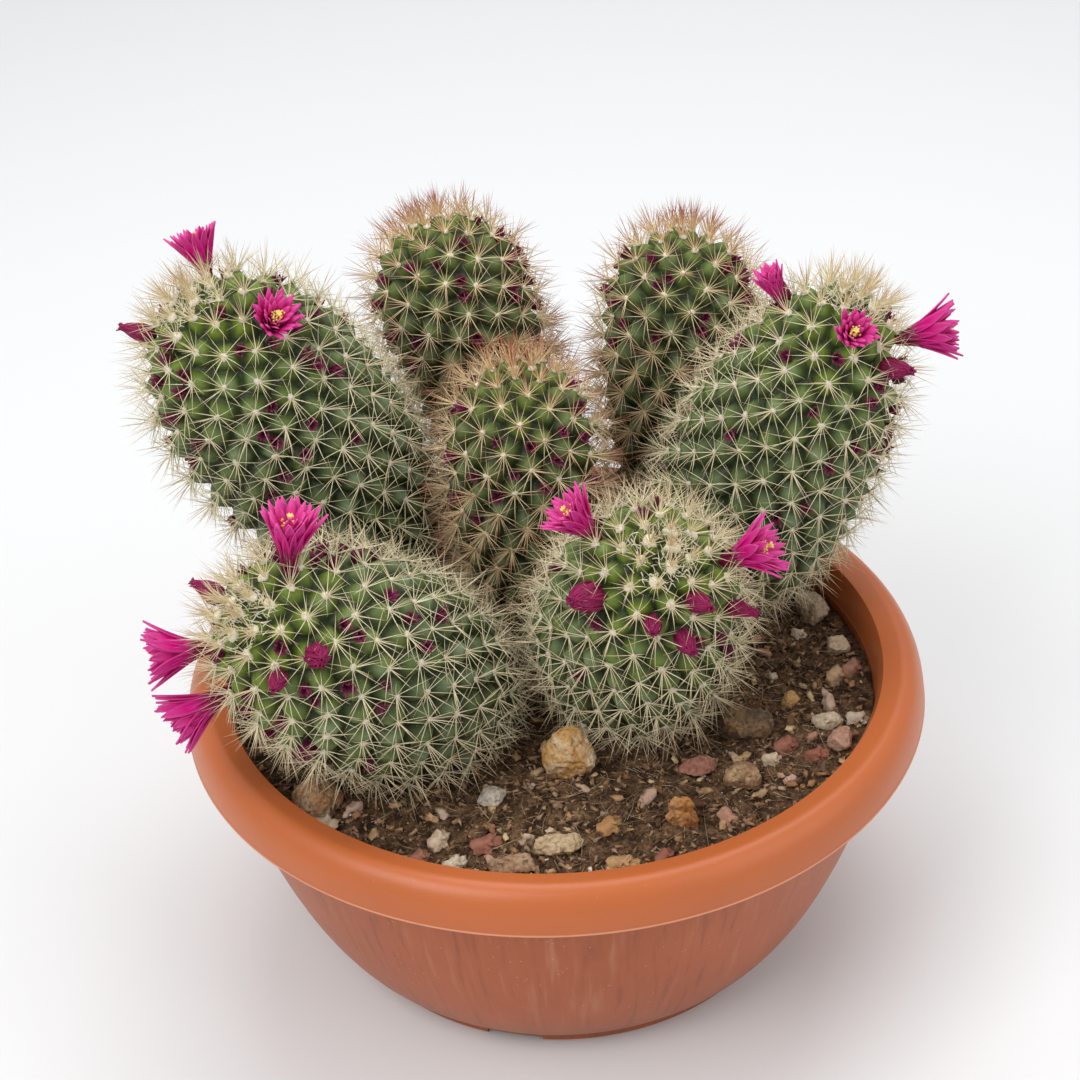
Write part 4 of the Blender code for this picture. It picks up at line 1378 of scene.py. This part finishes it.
def bud(grown, sepal, material, rng):
    """A closed bud: overlapping blades wrapped to a point round a solid heart."""
    blades = Whorls(grown, rng)
    plan = ((7, 0.10, 0.62, 0.30), (8, 0.22, 0.66, 0.20), (7, 0.36, 0.62, 0.06))
    for k, (count, start, share, tilt) in enumerate(plan):
        radius = (0.66 - 0.12 * k) * grown.width
        length, width = share * grown.length, 3.9 * grown.width
        blades.ring(count, start, radius, tilt, 0.03, length, width, k * 0.45, k / 2, 0.1)
    blades.piece(f"{grown.node}_scales", sepal, material)
    deselect()
    bpy.ops.mesh.primitive_uv_sphere_add(segments=24, ring_count=16, radius=1.0)
    heart = bpy.context.object
    points = points_of(heart.data)
    share = np.clip(0.5 + 0.5 * points[:, 2], 0, 1)
    radius = grown.width * 0.80 * np.sin(math.pi * share**0.75) ** 0.8
    angle = np.arctan2(points[:, 1], points[:, 0])
    radius *= 1 + 0.05 * np.cos(7 * angle + 5 * share)
    local = np.stack([radius * np.cos(angle), radius * np.sin(angle), share * grown.length * 0.90], 1)
    set_points(heart.data, local @ turn_to(grown.way).T + grown.foot)
    set_attribute(heart.data, "along", share)
    set_evenly(heart.data, across=0.3, dark=0.2)
    keep(heart, f"{grown.node}_heart", material, [grown.node])


def petal_finish(settings):
    """Petals: vivid magenta, deeper along the midrib, paler towards tips and edges."""
    finish = Finish("Petal", {"Specular IOR Level": 0.22})
    along = finish.attribute("along")
    across = finish.attribute("across")
    veins = finish.noise(1300, 2.0)
    pale = along.past(0.50, 0.5) * 0.50 + across.past(0.55, 0.45) * 0.28
    base = finish.mix(pale, settings.petal_colour, settings.edge_colour)
    base = finish.mix((1 - along.past(0.02, 0.22)) * 0.5, base, (0.70, 0.32, 0.52))
    midrib = (1 - across.past(0.04, 0.22)) * (1 - along.past(0.75, 0.25))
    base = finish.mix(midrib * 0.55, base, tinted(settings.petal_colour, 0.55))
    base = finish.mix(veins.past(0.45, 0.3) * 0.18, base, tinted(settings.petal_colour, 0.7))
    return finish.dress(base, 0.48 + veins * 0.15, veins, 0.12 * MM)


def sepal_finish(name, colour, tip):
    """Outer scales and buds: dark red-magenta, with a brown midrib and pale fringed edges."""
    finish = Finish(name, {"Specular IOR Level": 0.3})
    along = finish.attribute("along")
    across = finish.attribute("across")
    mottle = finish.noise(900, 3.0)
    base = finish.mix(along.past(0.15, 0.8), tinted(colour, 0.8), tip)
    base = finish.mix((1 - across.past(0.05, 0.30)) * 0.6, base, (0.100, 0.012, 0.020))
    base = finish.mix(across.past(0.70, 0.3) * 0.20, base, (0.56, 0.13, 0.25))
    base = finish.mix(mottle.past(0.42, 0.3) * 0.4, base, tinted(colour, 0.5))
    return finish.dress(base, 0.5 + mottle * 0.2, mottle, 0.15 * MM)


def plain_finish(name, colour, accent, grain):
    finish = Finish(name, {"Specular IOR Level": 0.3})
    mottle = finish.noise(grain, 3.0)
    base = finish.mix(mottle.past(0.35, 0.35), colour, accent)
    return finish.dress(base, 0.55 + mottle * 0.2, mottle, 0.1 * MM)


# How wide a flower stands open, where it isn't 1.
OPENNESS = {
    "flower_right_wilted": 0.25,
    "flower_right_half_open": 0.7,
    "flower_front_left_upright": 0.72,
    "flower_left_facing": 1.2,
    "flower_front_right_outer": 1.2,
}


class CACTUS_OT_flowers(bpy.types.Operator):
    """Makes every open flower and closed bud on the line of its solid"""

    bl_idname = "cactus.make_flowers"
    bl_label = "Make flowers and buds"

    def execute(self, context):
        settings = context.scene.cactus_flowers
        finishes = {
            "petal": petal_finish(settings),
            "sepal": sepal_finish("Flower scale", (0.30, 0.010, 0.075), settings.petal_colour),
            "filament": plain_finish("Filament", (0.80, 0.33, 0.45), (0.86, 0.55, 0.52), 1500),
            "pollen": plain_finish("Pollen", settings.pollen_colour, (0.90, 0.74, 0.30), 2500),
        }
        closed = sepal_finish("Bud scale", settings.bud_colour, (0.31, 0.006, 0.092))
        petal = blade(0.265, 0.20, 0.16, 3.0)
        sepal = blade(0.30, 0.25, 0.05, 2.4)
        wrap = blade(0.30, 0.35, -0.40, 2.6, thickness=0.03)
        thread = needle(girth=0.028, bend=0.08)
        bead = puff(2, 1.0, 0.1, 2)
        for name in sorted(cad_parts):
            rng = np.random.default_rng(len(name) + sum(map(ord, name)))
            if name.startswith("flower"):
                flower(Grown(name), petal, sepal, thread, bead, finishes, rng, OPENNESS.get(name, 1.0))
            elif name.startswith("bud"):
                bud(Grown(name), wrap, closed, rng)
        return {"FINISHED"}


# ---------------------------------------------------------------- stage


FLOOR_SIZE = 14.0
LAMP_AIM = Vector((0, 0, 0.12))
CAMERA_SPOT = Vector((-0.0028, -0.6041, 0.5469))
CAMERA_PITCH = math.radians(33.36)
CAMERA_ROLL = math.radians(-2.77)
CAMERA_LENS = 73.33


class CACTUS_OT_stage(bpy.types.Operator):
    """Makes the pale floor, the soft studio light and the camera"""

    bl_idname = "cactus.make_stage"
    bl_label = "Make stage"

    def execute(self, context):
        settings = context.scene.cactus_stage
        deselect()
        bpy.ops.mesh.primitive_plane_add(size=FLOOR_SIZE, location=(0, 0, -0.05 * MM))
        floor = context.object
        floor.name = "pale_floor"
        finish = Finish("Pale floor", {"Specular IOR Level": 0.2})
        shade = finish.noise(3, 2.0)
        base = finish.mix(shade * 0.12, settings.floor_colour, tinted(settings.floor_colour, 0.97))
        floor.data.materials.append(finish.dress(base, 0.75))
        self.lamp("key_lamp", (-0.75, -0.75, 1.25), 0.9, settings.lamp_power)
        self.lamp("fill_lamp", (1.1, -0.6, 0.9), 1.1, settings.lamp_power * 0.38)
        self.lamp("top_lamp", (0.1, 0.55, 1.5), 1.2, settings.lamp_power * 1.05)
        world = bpy.data.worlds.new("Studio")
        context.scene.world = world
        world.use_nodes = True
        sky = world.node_tree.nodes["Background"]
        sky.inputs["Color"].default_value = (0.975, 0.98, 0.995, 1.0)
        sky.inputs["Strength"].default_value = 0.56
        context.scene.view_settings.view_transform = "Standard"
        self.camera(context)
        return {"FINISHED"}

    @staticmethod
    def lamp(name, spot, size, power):
        data = bpy.data.lights.new(name, "AREA")
        data.size = size
        data.energy = power
        lamp = bpy.data.objects.new(name, data)
        lamp.location = spot
        lamp.rotation_euler = (LAMP_AIM - Vector(spot)).to_track_quat("-Z", "Y").to_euler()
        bpy.context.scene.collection.objects.link(lamp)

    @staticmethod
    def camera(context):
        """A long lens looking down on the bowl from the front, rolled a little."""
        forward = Vector((0, math.cos(CAMERA_PITCH), -math.sin(CAMERA_PITCH)))
        upright = Vector((0, math.sin(CAMERA_PITCH), math.cos(CAMERA_PITCH)))
        level = Vector((1, 0, 0))
        right = math.cos(CAMERA_ROLL) * level + math.sin(CAMERA_ROLL) * upright
        up = -math.sin(CAMERA_ROLL) * level + math.cos(CAMERA_ROLL) * upright
        data = bpy.data.cameras.new("front_camera")
        data.sensor_width = 36.0
        data.lens = CAMERA_LENS
        camera = bpy.data.objects.new("front_camera", data)
        turn = Matrix((right, up, -forward)).transposed().to_4x4()
        camera.matrix_world = Matrix.Translation(CAMERA_SPOT) @ turn
        context.scene.collection.objects.link(camera)
        context.scene.camera = camera


# ---------------------------------------------------------------- panel and registration


class CACTUS_PT_panel(bpy.types.Panel):
    bl_label = "Potted round cactus"
    bl_idname = "CACTUS_PT_panel"
    bl_space_type = "VIEW_3D"
    bl_region_type = "UI"
    bl_category = "Cactus"

    def draw(self, context):
        for group, (_, operators) in GROUPS.items():
            box = self.layout.box()
            settings = getattr(context.scene, group)
            for name in settings.bl_rna.properties.keys():
                if name not in ("rna_type", "name"):
                    box.prop(settings, name)
            for operator in operators:
                box.operator(operator)


# Each group of settings, with its class and the operators that it's for.
GROUPS = {
    "cactus_bowl": (CactusBowlSettings, ["cactus.make_bowl"]),
    "cactus_soil": (CactusSoilSettings, ["cactus.make_soil", "cactus.make_stones"]),
    "cactus_stems": (CactusStemSettings, ["cactus.make_stems"]),
    "cactus_flowers": (CactusFlowerSettings, ["cactus.make_flowers"]),
    "cactus_stage": (CactusStageSettings, ["cactus.make_stage"]),
}
CLASSES = [
    CACTUS_OT_bowl,
    CACTUS_OT_soil,
    CACTUS_OT_stones,
    CACTUS_OT_stems,
    CACTUS_OT_flowers,
    CACTUS_OT_stage,
    CACTUS_PT_panel,
]


def register():
    for group, (kind, _) in GROUPS.items():
        bpy.utils.register_class(kind)
        setattr(bpy.types.Scene, group, PointerProperty(type=kind))
    for kind in CLASSES:
        bpy.utils.register_class(kind)


def unregister():
    for kind in reversed(CLASSES):
        bpy.utils.unregister_class(kind)
    for group, (kind, _) in GROUPS.items():
        delattr(bpy.types.Scene, group)
        bpy.utils.unregister_class(kind)


def main():
    register()
    bpy.ops.cactus.make_bowl()
    bpy.ops.cactus.make_soil()
    bpy.ops.cactus.make_stones()
    bpy.ops.cactus.make_stems()
    bpy.ops.cactus.make_flowers()
    bpy.ops.cactus.make_stage()
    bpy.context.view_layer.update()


if __name__ == "__main__":
    main()
